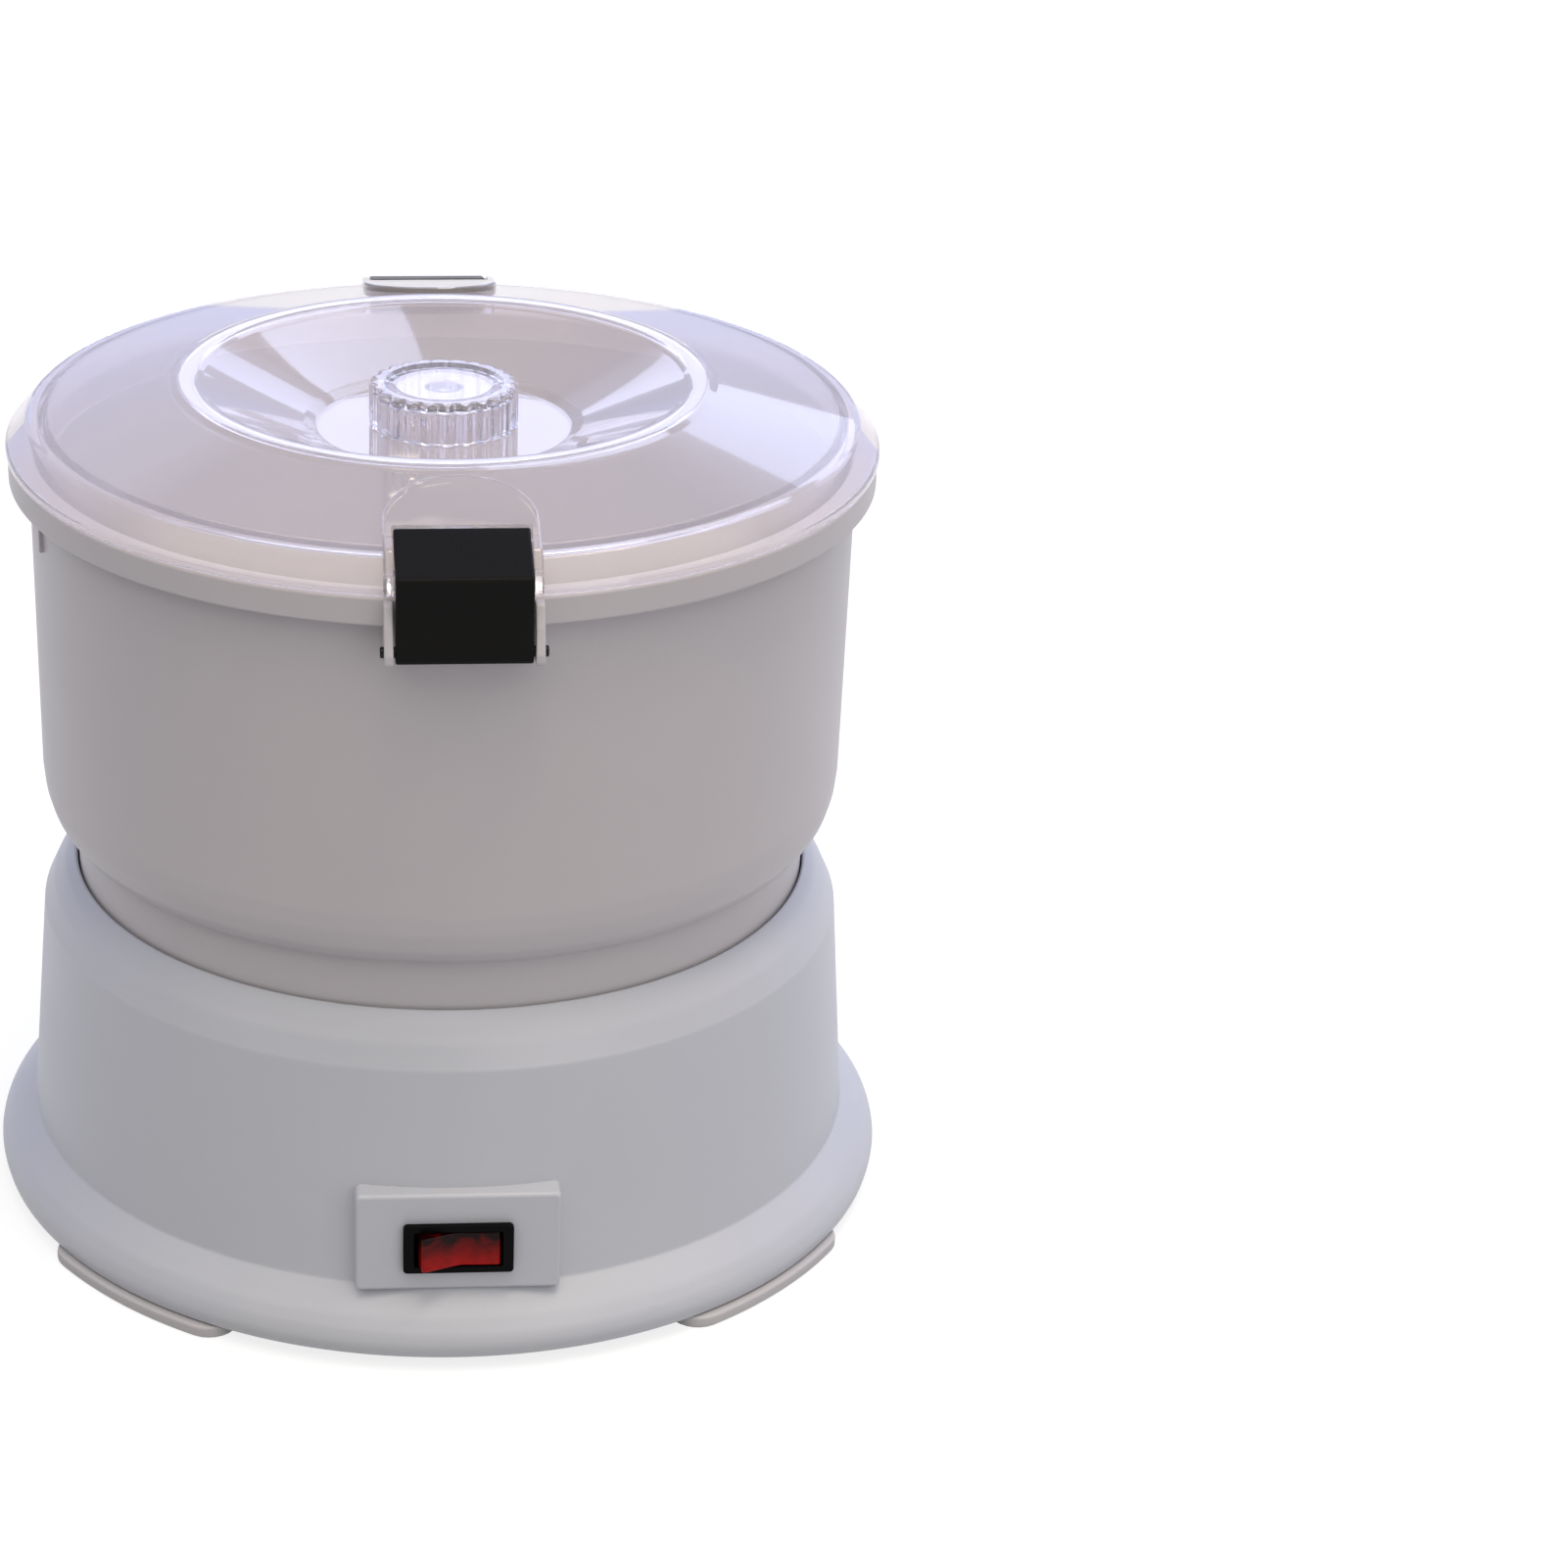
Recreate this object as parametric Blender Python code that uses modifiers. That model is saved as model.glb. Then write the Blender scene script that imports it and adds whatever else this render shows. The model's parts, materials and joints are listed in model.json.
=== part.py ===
"""Electric potato peeler, built as separate pieces.

All lengths are in metres. The origin is on the table under the middle of the base,
+Z is up, and the switch and the front latch face -Y. A height is called z and is
measured from the table. A radius is measured from the upright middle axis.
"""

import math

import bmesh
import bpy
from mathutils import Matrix, Vector

# Overall sizes
BODY_RADIUS = 0.1192
FOOT_HEIGHT = 0.0040
BASE_HEIGHT = 0.0988
BOWL_HEIGHT = 0.1274

# Walls, gaps and cutters
WALL = 0.0024
GAP = 0.0003
OVERRUN = 0.0010
MERGE = 0.00001

# Numbers of flat sides
SHELL_STEPS = 48
PULLEY_STEPS = 24
SMALL_STEPS = 20
ROD_SIDES = 12
SCREW_SIDES = 8
HEX_SIDES = 6

# Base housing
WALL_STEP = 0.0003
BASE_DRAFT = 0.0050
SKIRT_FLARE = 0.0110
SKIRT_BULGE_RISE = 0.0040
SKIRT_LIP = 0.0010
FLARE_RISE = 0.0175
FLARE_SHARES = ((0.88, 0.84), (0.64, 0.67), (0.32, 0.48), (0.09, 0.30))
SHOULDER_RISE = 0.0153
SHOULDER_SHARES = ((0.63, 0.75), (0.29, 0.425), (0.05, 0.065))
RECESS_DEPTH = 0.0108
SEAT_CLEARANCE = 0.0005
COLUMN_RADIUS = 0.0040
COLUMN_INSET = 0.0052
COLUMN_COUNT = 4

# Switch pad and switch
PAD_WIDTH = 0.0577
PAD_HEIGHT = 0.0307
PAD_PROUD = 0.0017
PAD_ROOT = 0.0080
PAD_DEPTH_INSIDE = 0.0200
SWITCH_RISE = 0.0143
BEZEL_WIDTH = 0.0310
BEZEL_HEIGHT = 0.0150
BEZEL_THICKNESS = 0.0020
SWITCH_WIDTH = 0.0270
SWITCH_HEIGHT = 0.0120
SWITCH_DEPTH = 0.0220
ROCKER_HALF_WIDTH = 0.0102
ROCKER_CLEARANCE = 0.0011
ROCKER_HEIGHT = 0.0092
ROCKER_CROWN = 0.0048
ROCKER_HOLLOW = 0.0022
ROCKER_HEEL = 0.0030
ROCKER_HEEL_HALF_WIDTH = 0.0050
ROCKER_SIDE = 0.0005
ROCKER_PIVOT_DEPTH = 0.0010
ROCKER_POCKET_DEPTH = 0.0065
ROCKER_TILT = math.radians(10)
LAMP_RADIUS = 0.0018
LAMP_DEPTH = 0.0040
TERMINAL_WIDTH = 0.0048
TERMINAL_THICKNESS = 0.0008
TERMINAL_LENGTH = 0.0080
TERMINAL_PITCH = 0.0090

# Feet
FOOT_ANGLE = math.radians(44)
FOOT_SPAN = math.radians(31)
FOOT_WIDTH = 0.0170
FOOT_OVERHANG = 0.0012
FOOT_ARC_STEPS = 10
FOOT_END_STEPS = 5
PEG_RADIUS = 0.0025
PEG_INSET = 0.0105
PEG_SPREAD = math.radians(8)

# Bottom plate
PLATE_THICKNESS = 0.0025
PLATE_RECESS = 0.0015
PLATE_CLEARANCE = 0.0005
VENT_COUNT = 12
VENT_LENGTH = 0.0260
VENT_WIDTH = 0.0030
VENT_CIRCLE = 0.0700

# Screws
SCREW_RADIUS = 0.0015
SCREW_HEAD_RADIUS = 0.0030
SCREW_HEAD_HEIGHT = 0.0020
COLUMN_SCREW_LENGTH = 0.0150
SHORT_SCREW_LENGTH = 0.0070
SCREW_SPARE = 0.0010

# Bearing sleeve, bearings and seal
BEARING_RADIUS = 0.0110
BEARING_HEIGHT = 0.0070
SLEEVE_WALL = 0.0027
SLEEVE_LAND = 0.0090
SLEEVE_RISE = 0.0128
SLEEVE_DROP = 0.0360
SLEEVE_FLANGE_RADIUS = 0.0260
SLEEVE_FLANGE = 0.0030
SLEEVE_BOSS_HEIGHT = 0.0060
SLEEVE_BOSS_RADIUS = 0.0035
SLEEVE_BOLT_CIRCLE = 0.0210
SLEEVE_BOLT_COUNT = 3
SEAL_HEIGHT = 0.0056
SEAL_LIP = 0.0016

# Drive shaft and what it carries
SHAFT_RADIUS = 0.0040
SHAFT_TAIL = 0.0020
RING_RADIUS = 0.0065
RING_HEIGHT = 0.0013
HEAD_RISE = 0.0020
HEAD_HEIGHT = 0.0180
HEAD_RADIUS = 0.0075
HEAD_ROOF = 0.0030
NUT_RADIUS = 0.0065
NUT_HEIGHT = 0.0060

# Pulleys and belt
LARGE_PULLEY_RADIUS = 0.0450
SMALL_PULLEY_RADIUS = 0.0110
PULLEY_FLANGE = 0.0020
PULLEY_HEIGHT = 0.0120
PULLEY_WEB = 0.0040
PULLEY_RIM = 0.0050
PULLEY_HUB_RADIUS = 0.0080
GROOVE_DEPTH = 0.0025
BELT_THICKNESS = 0.0020
BELT_ARC_STEP = math.radians(10)
PULLEY_DROP = 0.0015

# Motor
MOTOR_OFFSET = 0.0680
MOTOR_RADIUS = 0.0300
MOTOR_HEIGHT = 0.0320
MOTOR_WALL = 0.0016
MOTOR_BOSS_HEIGHT = 0.0080
MOTOR_BOSS_RADIUS = 0.0040
MOTOR_BOLT_HALF_PITCH = 0.0290
BRACKET_THICKNESS = 0.0024
BRACKET_EDGE = 0.0050
END_CAP_THICKNESS = 0.0024
BUSH_RADIUS = 0.0060
BUSH_HEIGHT = 0.0050
BUSH_COLLAR = 0.0020
STATOR_THICKNESS = 0.0055
STATOR_HEIGHT = 0.0180
ROTOR_AIR_GAP = 0.0008
ROTOR_HEIGHT = 0.0160
ROTOR_SHAFT_RADIUS = 0.0030

# Electrical pieces
CAPACITOR_RADIUS = 0.0140
CAPACITOR_HEIGHT = 0.0340
CAPACITOR_SPOT = (-0.0760, 0.0250)
SOCKET_WALL = 0.0020
SOCKET_HEIGHT = 0.0070
BLOCK_SIZE = (0.0260, 0.0120, 0.0120)
BLOCK_RADIUS = 0.0860
CORD_RADIUS = 0.0035
INLET_RISE = 0.0120
INLET_RADIUS = 0.0060
INLET_FLANGE_RADIUS = 0.0080
INLET_FLANGE = 0.0026
INLET_NOSE = 0.0030
INLET_CURVE = 0.0020
INLET_HOLE_REACH = 0.0072
LEAD_RADIUS = 0.0010
LEAD_RESOLUTION = 1
LEAD_STEPS = 4
LEAD_STRAIGHT = 0.0060

# Bowl
BOWL_TAPER = 0.0008
BOWL_FOOT_INSET = 0.0105
BOWL_FOOT_WALL = 0.0024
BOWL_FLOOR_RISE = 0.0140
BOWL_CORNER_RISE = 0.0172
BOWL_CORNER_SHARES = ((0.08, 0.65), (0.30, 0.33), (0.64, 0.115), (1.0, 0.0))
BOWL_CORNER_RUN = 0.0072
RIM_OVERHANG = 0.0058
RIM_HEIGHT = 0.0082
TUBE_CLEARANCE = 0.0012
TUBE_RISE = 0.0060
RIB_ANGLE = math.radians(73.5)
RIB_WIDTH = 0.0016
RIB_PROUD = 0.0010
RIB_HEIGHT = 0.0170

# Upright blades in the bowl
WALL_BLADE_COUNT = 3
WALL_BLADE_WIDTH = 0.0120
WALL_BLADE_HEIGHT = 0.0600
WALL_BLADE_THICKNESS = 0.0010
WALL_BLADE_RISE = 0.0200
BLADE_TOOTH_COUNT = 5
BLADE_TOOTH_HEIGHT = 0.0025
BLADE_TOOTH_LENGTH = 0.0090

# Turntable
DISC_THICKNESS = 0.0030
DISC_RISE = 0.0068
DISC_CLEARANCE = 0.0041
HUB_CLEARANCE = 0.0014
HUB_WALL = 0.0030
HUB_FOOT = 0.0020
HUB_HEADROOM = 0.0025
HUB_CROWN = 0.0047
HUB_TOP_RADIUS = 0.0130
HUB_CHAMFER = 0.0015
SOCKET_CLEARANCE = 0.0004
RIDGE_COUNT = 3
RIDGE_HEIGHT = 0.0080
RIDGE_HALF_WIDTH = 0.0130
RIDGE_SHARES = (
    (-1.0, 0.0),
    (-0.72, 0.30),
    (-0.40, 0.85),
    (0.0, 1.0),
    (0.40, 0.85),
    (0.72, 0.30),
    (1.0, 0.0),
)
RIDGE_START = 0.0300
RIDGE_END_INSET = 0.0120
GRATER_START = 0.0380
GRATER_LENGTH = 0.0580
GRATER_WIDTH = 0.0100
GRATER_THICKNESS = 0.0012

# Lid
LID_OVERHANG = 0.0006
LID_WALL = 0.0022
LID_EDGE_HEIGHT = 0.0020
BAND_RUN = 0.0066
BAND_RISE = 0.0075
CONE_RISE = 0.0088
CREST_RADIUS = 0.0733
CREST_HALF_WIDTH = 0.0042
CREST_RISE = 0.0012
CREST_FALL = 0.0015
DISH_DEPTH = 0.0155
DISH_RADIUS = 0.0370
DISH_STEP_RUN = 0.0030
DISH_STEP_RISE = 0.0020
LID_SKIRT_INSET = 0.0037
LID_SKIRT_DEPTH = 0.0077
LID_SKIRT_WALL = 0.0022

# Latch bosses on the lid
BOSS_HALF_WIDTH = 0.0208
BOSS_RISE = 0.0018
BOSS_ARCH_INSET = 0.0430
BOSS_EDGE_INSET = 0.0008
BOSS_SHOULDER_INSET = 0.0071
BOSS_FLOOR = 0.0003
BOSS_DEPTH = 0.0136
ARCH_STEPS = 12
POCKET_CLEARANCE = 0.0005
POCKET_DEPTH = 0.0021
POCKET_LIP = 0.0011

# Latches
LATCH_HALF_WIDTH = 0.0180
PIVOT_OUT = 0.0040
PIVOT_DROP = 0.0129
BARREL_RADIUS = 0.0030
BARREL_STEPS = 6
HOOK_REACH = 0.0171
HOOK_END_CLEARANCE = 0.0012
HOOK_CLEARANCE = 0.0006
HOOK_PROUD = 0.0002
BEND_OUT = 0.0022
BEND_RISE = 0.0209
CREASE_OUT = 0.0016
CREASE_RISE = 0.0106
LATCH_INNER_CLEARANCE = 0.0017
LATCH_INNER_RISE = 0.0157
LATCH_ELBOW_RUN = 0.0042
LATCH_ELBOW_RISE = 0.0034
PIN_RADIUS = 0.0015
PIN_PROUD = 0.0010
EAR_CLEARANCE = 0.0005
EAR_THICKNESS = 0.0025
EAR_MARGIN = 0.0003
EAR_ROOT_SHARE = 1.3
EAR_HEEL_SHARE = 1.15

# Knob
KNOB_RADIUS = 0.0208
KNOB_HEIGHT = 0.0125
KNOB_SCALLOPS = 24
KNOB_SCALLOP_DEPTH = 0.0007
KNOB_SCALLOP_STEPS = 3
KNOB_WALL = 0.0030
KNOB_POST_RADIUS = 0.0045

# Radii and heights that follow
WALL_TOP_RADIUS = BODY_RADIUS + WALL_STEP
WALL_FOOT_RADIUS = WALL_TOP_RADIUS + BASE_DRAFT
SKIRT_RADIUS = WALL_FOOT_RADIUS + SKIRT_FLARE
SKIRT_EDGE_RADIUS = SKIRT_RADIUS - SKIRT_LIP
BOWL_FOOT_RADIUS = BODY_RADIUS - BOWL_FOOT_INSET
SEAM_RADIUS = BOWL_FOOT_RADIUS + SEAT_CLEARANCE
SKIRT_Z = FOOT_HEIGHT
SEAM_Z = SKIRT_Z + BASE_HEIGHT
WALL_TOP_Z = SEAM_Z - SHOULDER_RISE
DECK_Z = SEAM_Z - RECESS_DEPTH
DECK_LOW_Z = DECK_Z - WALL
PLATE_LOW_Z = SKIRT_Z + PLATE_RECESS
PLATE_Z = PLATE_LOW_Z + PLATE_THICKNESS
PLATE_RADIUS = SKIRT_EDGE_RADIUS - WALL - PLATE_CLEARANCE
COLUMN_CIRCLE = SEAM_RADIUS - COLUMN_INSET
PAD_LOW_Z = SKIRT_Z + FLARE_RISE
PAD_Z = PAD_LOW_Z + PAD_HEIGHT
PAD_FACE = WALL_FOOT_RADIUS + PAD_PROUD
SWITCH_Z = PAD_LOW_Z + SWITCH_RISE
FLOOR_LOW_Z = SEAM_Z + BOWL_FLOOR_RISE
FLOOR_Z = FLOOR_LOW_Z + WALL
RIM_RADIUS = BODY_RADIUS + RIM_OVERHANG
RIM_Z = SEAM_Z + BOWL_HEIGHT
SLEEVE_RADIUS = BEARING_RADIUS + GAP + SLEEVE_WALL
SLEEVE_Z = FLOOR_Z + SLEEVE_RISE
SLEEVE_LOW_Z = DECK_LOW_Z - SLEEVE_DROP
FLANGE_Z = DECK_LOW_Z - SLEEVE_BOSS_HEIGHT - GAP
FLANGE_LOW_Z = FLANGE_Z - SLEEVE_FLANGE
SEAL_Z = SLEEVE_Z - GAP
UPPER_BEARING_Z = SEAL_Z - SEAL_HEIGHT - GAP
LOWER_BEARING_Z = SLEEVE_LOW_Z + GAP + BEARING_HEIGHT
SHAFT_BORE = SHAFT_RADIUS + GAP
HEAD_Z = SLEEVE_Z + HEAD_RISE
HEAD_TOP_Z = HEAD_Z + HEAD_HEIGHT
SHAFT_Z = HEAD_TOP_Z - HEAD_ROOF - GAP
TUBE_RADIUS = SLEEVE_RADIUS + TUBE_CLEARANCE
TUBE_Z = SLEEVE_Z + TUBE_RISE
MOTOR_BOLT_LOW_Z = DECK_LOW_Z - MOTOR_BOSS_HEIGHT
BRACKET_Z = MOTOR_BOLT_LOW_Z - GAP
BRACKET_LOW_Z = BRACKET_Z - BRACKET_THICKNESS
MOTOR_Z = BRACKET_LOW_Z - GAP
MOTOR_LOW_Z = MOTOR_Z - MOTOR_HEIGHT
END_CAP_LOW_Z = MOTOR_LOW_Z - GAP - END_CAP_THICKNESS
PULLEY_Z = END_CAP_LOW_Z - PULLEY_DROP
PULLEY_LOW_Z = PULLEY_Z - PULLEY_HEIGHT
NUT_Z = PULLEY_LOW_Z - GAP
NUT_LOW_Z = NUT_Z - NUT_HEIGHT
LARGE_GROOVE = LARGE_PULLEY_RADIUS - GROOVE_DEPTH
SMALL_GROOVE = SMALL_PULLEY_RADIUS - GROOVE_DEPTH
DISC_RADIUS = BODY_RADIUS - BOWL_TAPER - WALL - DISC_CLEARANCE
DISC_LOW_Z = FLOOR_Z + DISC_RISE
DISC_Z = DISC_LOW_Z + DISC_THICKNESS
HUB_BORE = TUBE_RADIUS + WALL + HUB_CLEARANCE
HUB_ROOF_Z = TUBE_Z + HUB_HEADROOM
SOCKET_Z = HEAD_TOP_Z + GAP
HUB_Z = SOCKET_Z + HUB_CROWN
LID_RADIUS = RIM_RADIUS + LID_OVERHANG
LID_LOW_Z = RIM_Z + GAP
LID_EDGE_Z = LID_LOW_Z + LID_EDGE_HEIGHT
CONE_RADIUS = LID_RADIUS - BAND_RUN
CONE_LOW_Z = LID_EDGE_Z + BAND_RISE
CONE_Z = CONE_LOW_Z + CONE_RISE
CREST_Z = CONE_Z + CREST_RISE
DISH_Z = CREST_Z - DISH_DEPTH
PIVOT_RADIUS = RIM_RADIUS + PIVOT_OUT
PIVOT_Z = RIM_Z - PIVOT_DROP
HOOK_RADIUS = LID_RADIUS - HOOK_REACH
POCKET_RADIUS = HOOK_RADIUS - HOOK_END_CLEARANCE
EAR_START = LATCH_HALF_WIDTH + EAR_CLEARANCE
EAR_END = EAR_START + EAR_THICKNESS
INLET_Z = PAD_LOW_Z + INLET_RISE

SIDES = {"front": math.pi, "rear": 0.0}


def cone_z(radius):
    """Height of the lid's outer cone at a radius."""
    share = (CONE_RADIUS - radius) / (CONE_RADIUS - CREST_RADIUS - CREST_HALF_WIDTH)
    return CONE_LOW_Z + CONE_RISE * share


def wall_radius(z):
    """Outer radius of the base's tapered wall at a height."""
    share = (z - PAD_LOW_Z) / (WALL_TOP_Z - PAD_LOW_Z)
    return WALL_FOOT_RADIUS - BASE_DRAFT * share


def on_circle(radius, angle, z=0.0):
    """Point at a radius, with its angle counted from +Y towards +X."""
    return Vector((radius * math.sin(angle), radius * math.cos(angle), z))


def circle_places(count, radius, start=0.0, z=0.0):
    """Evenly spaced points on a circle."""
    return [on_circle(radius, start + index * math.tau / count, z) for index in range(count)]


# Scene, materials and objects

for old in list(bpy.data.objects):
    bpy.data.objects.remove(old)

PARTS = bpy.data.collections.new("potato_peeler")
CUTTERS = bpy.data.collections.new("cutters")
bpy.context.scene.collection.children.link(PARTS)
bpy.context.scene.collection.children.link(CUTTERS)


def finish(name, colour, roughness, metallic=0.0, alpha=1.0):
    """Make one plain material."""
    material = bpy.data.materials.new(name)
    material.use_nodes = True
    shader = material.node_tree.nodes["Principled BSDF"]
    shader.inputs["Base Color"].default_value = (*colour, 1.0)
    shader.inputs["Roughness"].default_value = roughness
    shader.inputs["Metallic"].default_value = metallic
    shader.inputs["Alpha"].default_value = alpha
    return material


GREY_PLASTIC = finish("grey_plastic", (0.42, 0.41, 0.42), 0.35)
DARK_PLASTIC = finish("dark_plastic", (0.03, 0.03, 0.03), 0.45)
BLACK_LATCH = finish("black_latch", (0.01, 0.01, 0.01), 0.3)
CLEAR_PLASTIC = finish("clear_plastic", (0.80, 0.80, 0.85), 0.08, alpha=0.35)
RED_LENS = finish("red_lens", (0.45, 0.01, 0.01), 0.2)
WHITE_NYLON = finish("white_nylon", (0.70, 0.70, 0.66), 0.5)
STEEL = finish("steel", (0.55, 0.55, 0.56), 0.3, metallic=1.0)
BRONZE = finish("bronze", (0.50, 0.32, 0.14), 0.4, metallic=1.0)
BLACK_RUBBER = finish("black_rubber", (0.02, 0.02, 0.02), 0.8)
GREY_RUBBER = finish("grey_rubber", (0.45, 0.45, 0.45), 0.6)
COPPER = finish("copper", (0.60, 0.28, 0.14), 0.4, metallic=1.0)
GLASS = finish("glass", (0.9, 0.75, 0.7), 0.05, alpha=0.4)
BROWN_LEAD = finish("brown_lead", (0.16, 0.06, 0.02), 0.5)
BLUE_LEAD = finish("blue_lead", (0.03, 0.10, 0.40), 0.5)


def add(name, mesh, material, home=None):
    """Put a mesh in the scene as a named object."""
    piece = bpy.data.objects.new(name, mesh)
    (home or PARTS).objects.link(piece)
    if material:
        mesh.materials.append(material)
    return piece


def to_mesh(name, shape):
    """Turn a bmesh into a mesh with its faces pointing out."""
    bmesh.ops.recalc_face_normals(shape, faces=shape.faces)
    mesh = bpy.data.meshes.new(name)
    shape.to_mesh(mesh)
    shape.free()
    return mesh


def solid(name, shape, material):
    """Make a sub-part from a finished bmesh."""
    return add(name, to_mesh(name, shape), material)


def as_cutter(piece):
    """Keep a helper out of the model's own pieces."""
    piece.hide_render = True
    piece.display_type = "WIRE"
    return piece


def helper(name, shape):
    """Make a cutter, or a shape that a union takes in, from a bmesh."""
    return as_cutter(add(name, to_mesh(name, shape), None, CUTTERS))


def combine(piece, other, operation):
    """Cut, join or intersect one object with another."""
    step = piece.modifiers.new(other.name, "BOOLEAN")
    step.operation = operation
    step.solver = "EXACT"
    step.object = other


def cut(piece, name, shape):
    """Take a shape away from a piece."""
    combine(piece, helper(name, shape), "DIFFERENCE")


def join(piece, name, shape):
    """Mould a shape onto a piece."""
    combine(piece, helper(name, shape), "UNION")


def turned(name, outline, material, steps, closed=False, spot=(0.0, 0.0), home=None):
    """Turn an outline of radius and height, down its outer side, round an upright axis."""
    corners = len(outline)
    edges = [(index, index + 1) for index in range(corners - 1)]
    if closed:
        edges.append((corners - 1, 0))
    mesh = bpy.data.meshes.new(name)
    mesh.from_pydata([(radius, 0.0, z) for radius, z in outline], edges, [])
    piece = add(name, mesh, material, home)
    piece.location = (*spot, 0.0)
    screw = piece.modifiers.new("turn", "SCREW")
    screw.steps = steps
    screw.render_steps = steps
    screw.use_merge_vertices = True
    screw.merge_threshold = MERGE
    return piece


def shell(name, outline, material, wall):
    """Turn an open outline and give it a wall behind its outer face."""
    piece = turned(name, outline, material, SHELL_STEPS)
    thick = piece.modifiers.new("wall", "SOLIDIFY")
    thick.thickness = wall
    thick.offset = -1.0
    thick.use_even_offset = True
    return piece


def ring(outer, inner, low, high):
    """Outline of a plain ring."""
    return [(outer, high), (outer, low), (inner, low), (inner, high)]


def rod(radius, start, end, sides=ROD_SIDES):
    """A closed rod between two points."""
    start = Vector(start)
    end = Vector(end)
    along = end - start
    turn = along.to_track_quat("Z", "Y").to_matrix().to_4x4()
    shape = bmesh.new()
    bmesh.ops.create_cone(
        shape,
        cap_ends=True,
        segments=sides,
        radius1=radius,
        radius2=radius,
        depth=along.length,
        matrix=Matrix.Translation((start + end) / 2) @ turn,
    )
    return shape


def box(low, high, turn=0.0):
    """A block between two corners, turned about the middle axis."""
    low = Vector(low)
    high = Vector(high)
    size = high - low
    place = Matrix.Rotation(turn, 4, "Z") @ Matrix.Translation((low + high) / 2)
    shape = bmesh.new()
    bmesh.ops.create_cube(shape, size=1.0, matrix=place @ Matrix.Diagonal((*size, 1.0)))
    return shape


def group(shapes):
    """Hold several separate shapes in one bmesh, for one cut or one union."""
    whole = bmesh.new()
    for shape in shapes:
        mesh = to_mesh("group", shape)
        whole.from_mesh(mesh)
        bpy.data.meshes.remove(mesh)
    return whole


def slab(outline, low, high, place=None, holes=()):
    """A flat outline in X and Y, filled and raised from low to high, then placed."""
    curve = bpy.data.curves.new("slab", "CURVE")
    curve.dimensions = "2D"
    curve.fill_mode = "BOTH"
    curve.extrude = (high - low) / 2
    for loop in (outline, *holes):
        spline = curve.splines.new("POLY")
        spline.points.add(len(loop) - 1)
        for point, (x, y) in zip(spline.points, loop):
            point.co = (x, y, 0.0, 1.0)
        spline.use_cyclic_u = True
    holder = bpy.data.objects.new("slab", curve)
    CUTTERS.objects.link(holder)
    bpy.context.view_layer.update()
    graph = bpy.context.evaluated_depsgraph_get()
    mesh = bpy.data.meshes.new_from_object(holder.evaluated_get(graph))
    shape = bmesh.new()
    shape.from_mesh(mesh)
    bmesh.ops.remove_doubles(shape, verts=shape.verts, dist=MERGE)
    rise = Matrix.Translation((0.0, 0.0, (low + high) / 2))
    bmesh.ops.transform(shape, matrix=(place or Matrix()) @ rise, verts=shape.verts)
    bpy.data.objects.remove(holder)
    bpy.data.meshes.remove(mesh)
    bpy.data.curves.remove(curve)
    return shape


def across(turn=0.0):
    """Stand an outline of radius and height up at +Y, spread along X, then turn it about Z."""
    upright = Matrix(((0, 0, 1, 0), (1, 0, 0, 0), (0, 1, 0, 0), (0, 0, 0, 1)))
    return Matrix.Rotation(turn, 4, "Z") @ upright


def tube(name, route, radius, material):
    """A round lead along a smooth curve through its own points."""
    curve = bpy.data.curves.new(name, "CURVE")
    curve.dimensions = "3D"
    curve.bevel_depth = radius
    curve.bevel_resolution = LEAD_RESOLUTION
    curve.use_fill_caps = True
    spline = curve.splines.new("POLY")
    points = smooth_route(route)
    spline.points.add(len(points) - 1)
    for point, place in zip(spline.points, points):
        point.co = (*place, 1.0)
    piece = bpy.data.objects.new(name, curve)
    PARTS.objects.link(piece)
    curve.materials.append(material)
    return piece


def smooth_route(route):
    """Points along a curve through the route's own points, straight at both ends."""
    route = [Vector(place) for place in route]
    chords = [end - start for start, end in zip(route, route[1:])]
    headings = [chords[0].normalized()]
    for before, after in zip(chords, chords[1:]):
        headings.append((before.normalized() + after.normalized()).normalized())
    headings.append(chords[-1].normalized())
    points = [route[0]]
    for index, chord in enumerate(chords):
        leave = headings[index] * chord.length
        arrive = headings[index + 1] * chord.length
        for step in range(1, LEAD_STEPS + 1):
            t = step / LEAD_STEPS
            away = t * t * (3 - 2 * t)
            points.append(
                route[index] + chord * away + leave * t * (1 - t) ** 2 - arrive * t * t * (1 - t)
            )
    return points


def screw_outline(length, low):
    """A pan-head screw, head down, with its shank's root at a height."""
    return [
        (0.0, low + length),
        (SCREW_RADIUS, low + length),
        (SCREW_RADIUS, low),
        (SCREW_HEAD_RADIUS, low),
        (SCREW_HEAD_RADIUS, low - SCREW_HEAD_HEIGHT),
        (0.0, low - SCREW_HEAD_HEIGHT),
    ]


def screws(name, length, low, places):
    """A set of equal screws, each its own piece."""
    for index, place in enumerate(places, start=1):
        turned(f"{name}_{index}", screw_outline(length, low), STEEL, SCREW_SIDES, spot=place.xy)


def pivot(name, place):
    """An empty on a joint's axis, which carries the pieces that move there."""
    empty = bpy.data.objects.new(name, None)
    PARTS.objects.link(empty)
    empty.location = place
    return empty


def carry(empty, *pieces):
    """Parent pieces to an empty and leave them where they are."""
    for piece in pieces:
        piece.parent = empty
        piece.matrix_parent_inverse = Matrix.Translation(empty.location).inverted()


# Base


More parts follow.
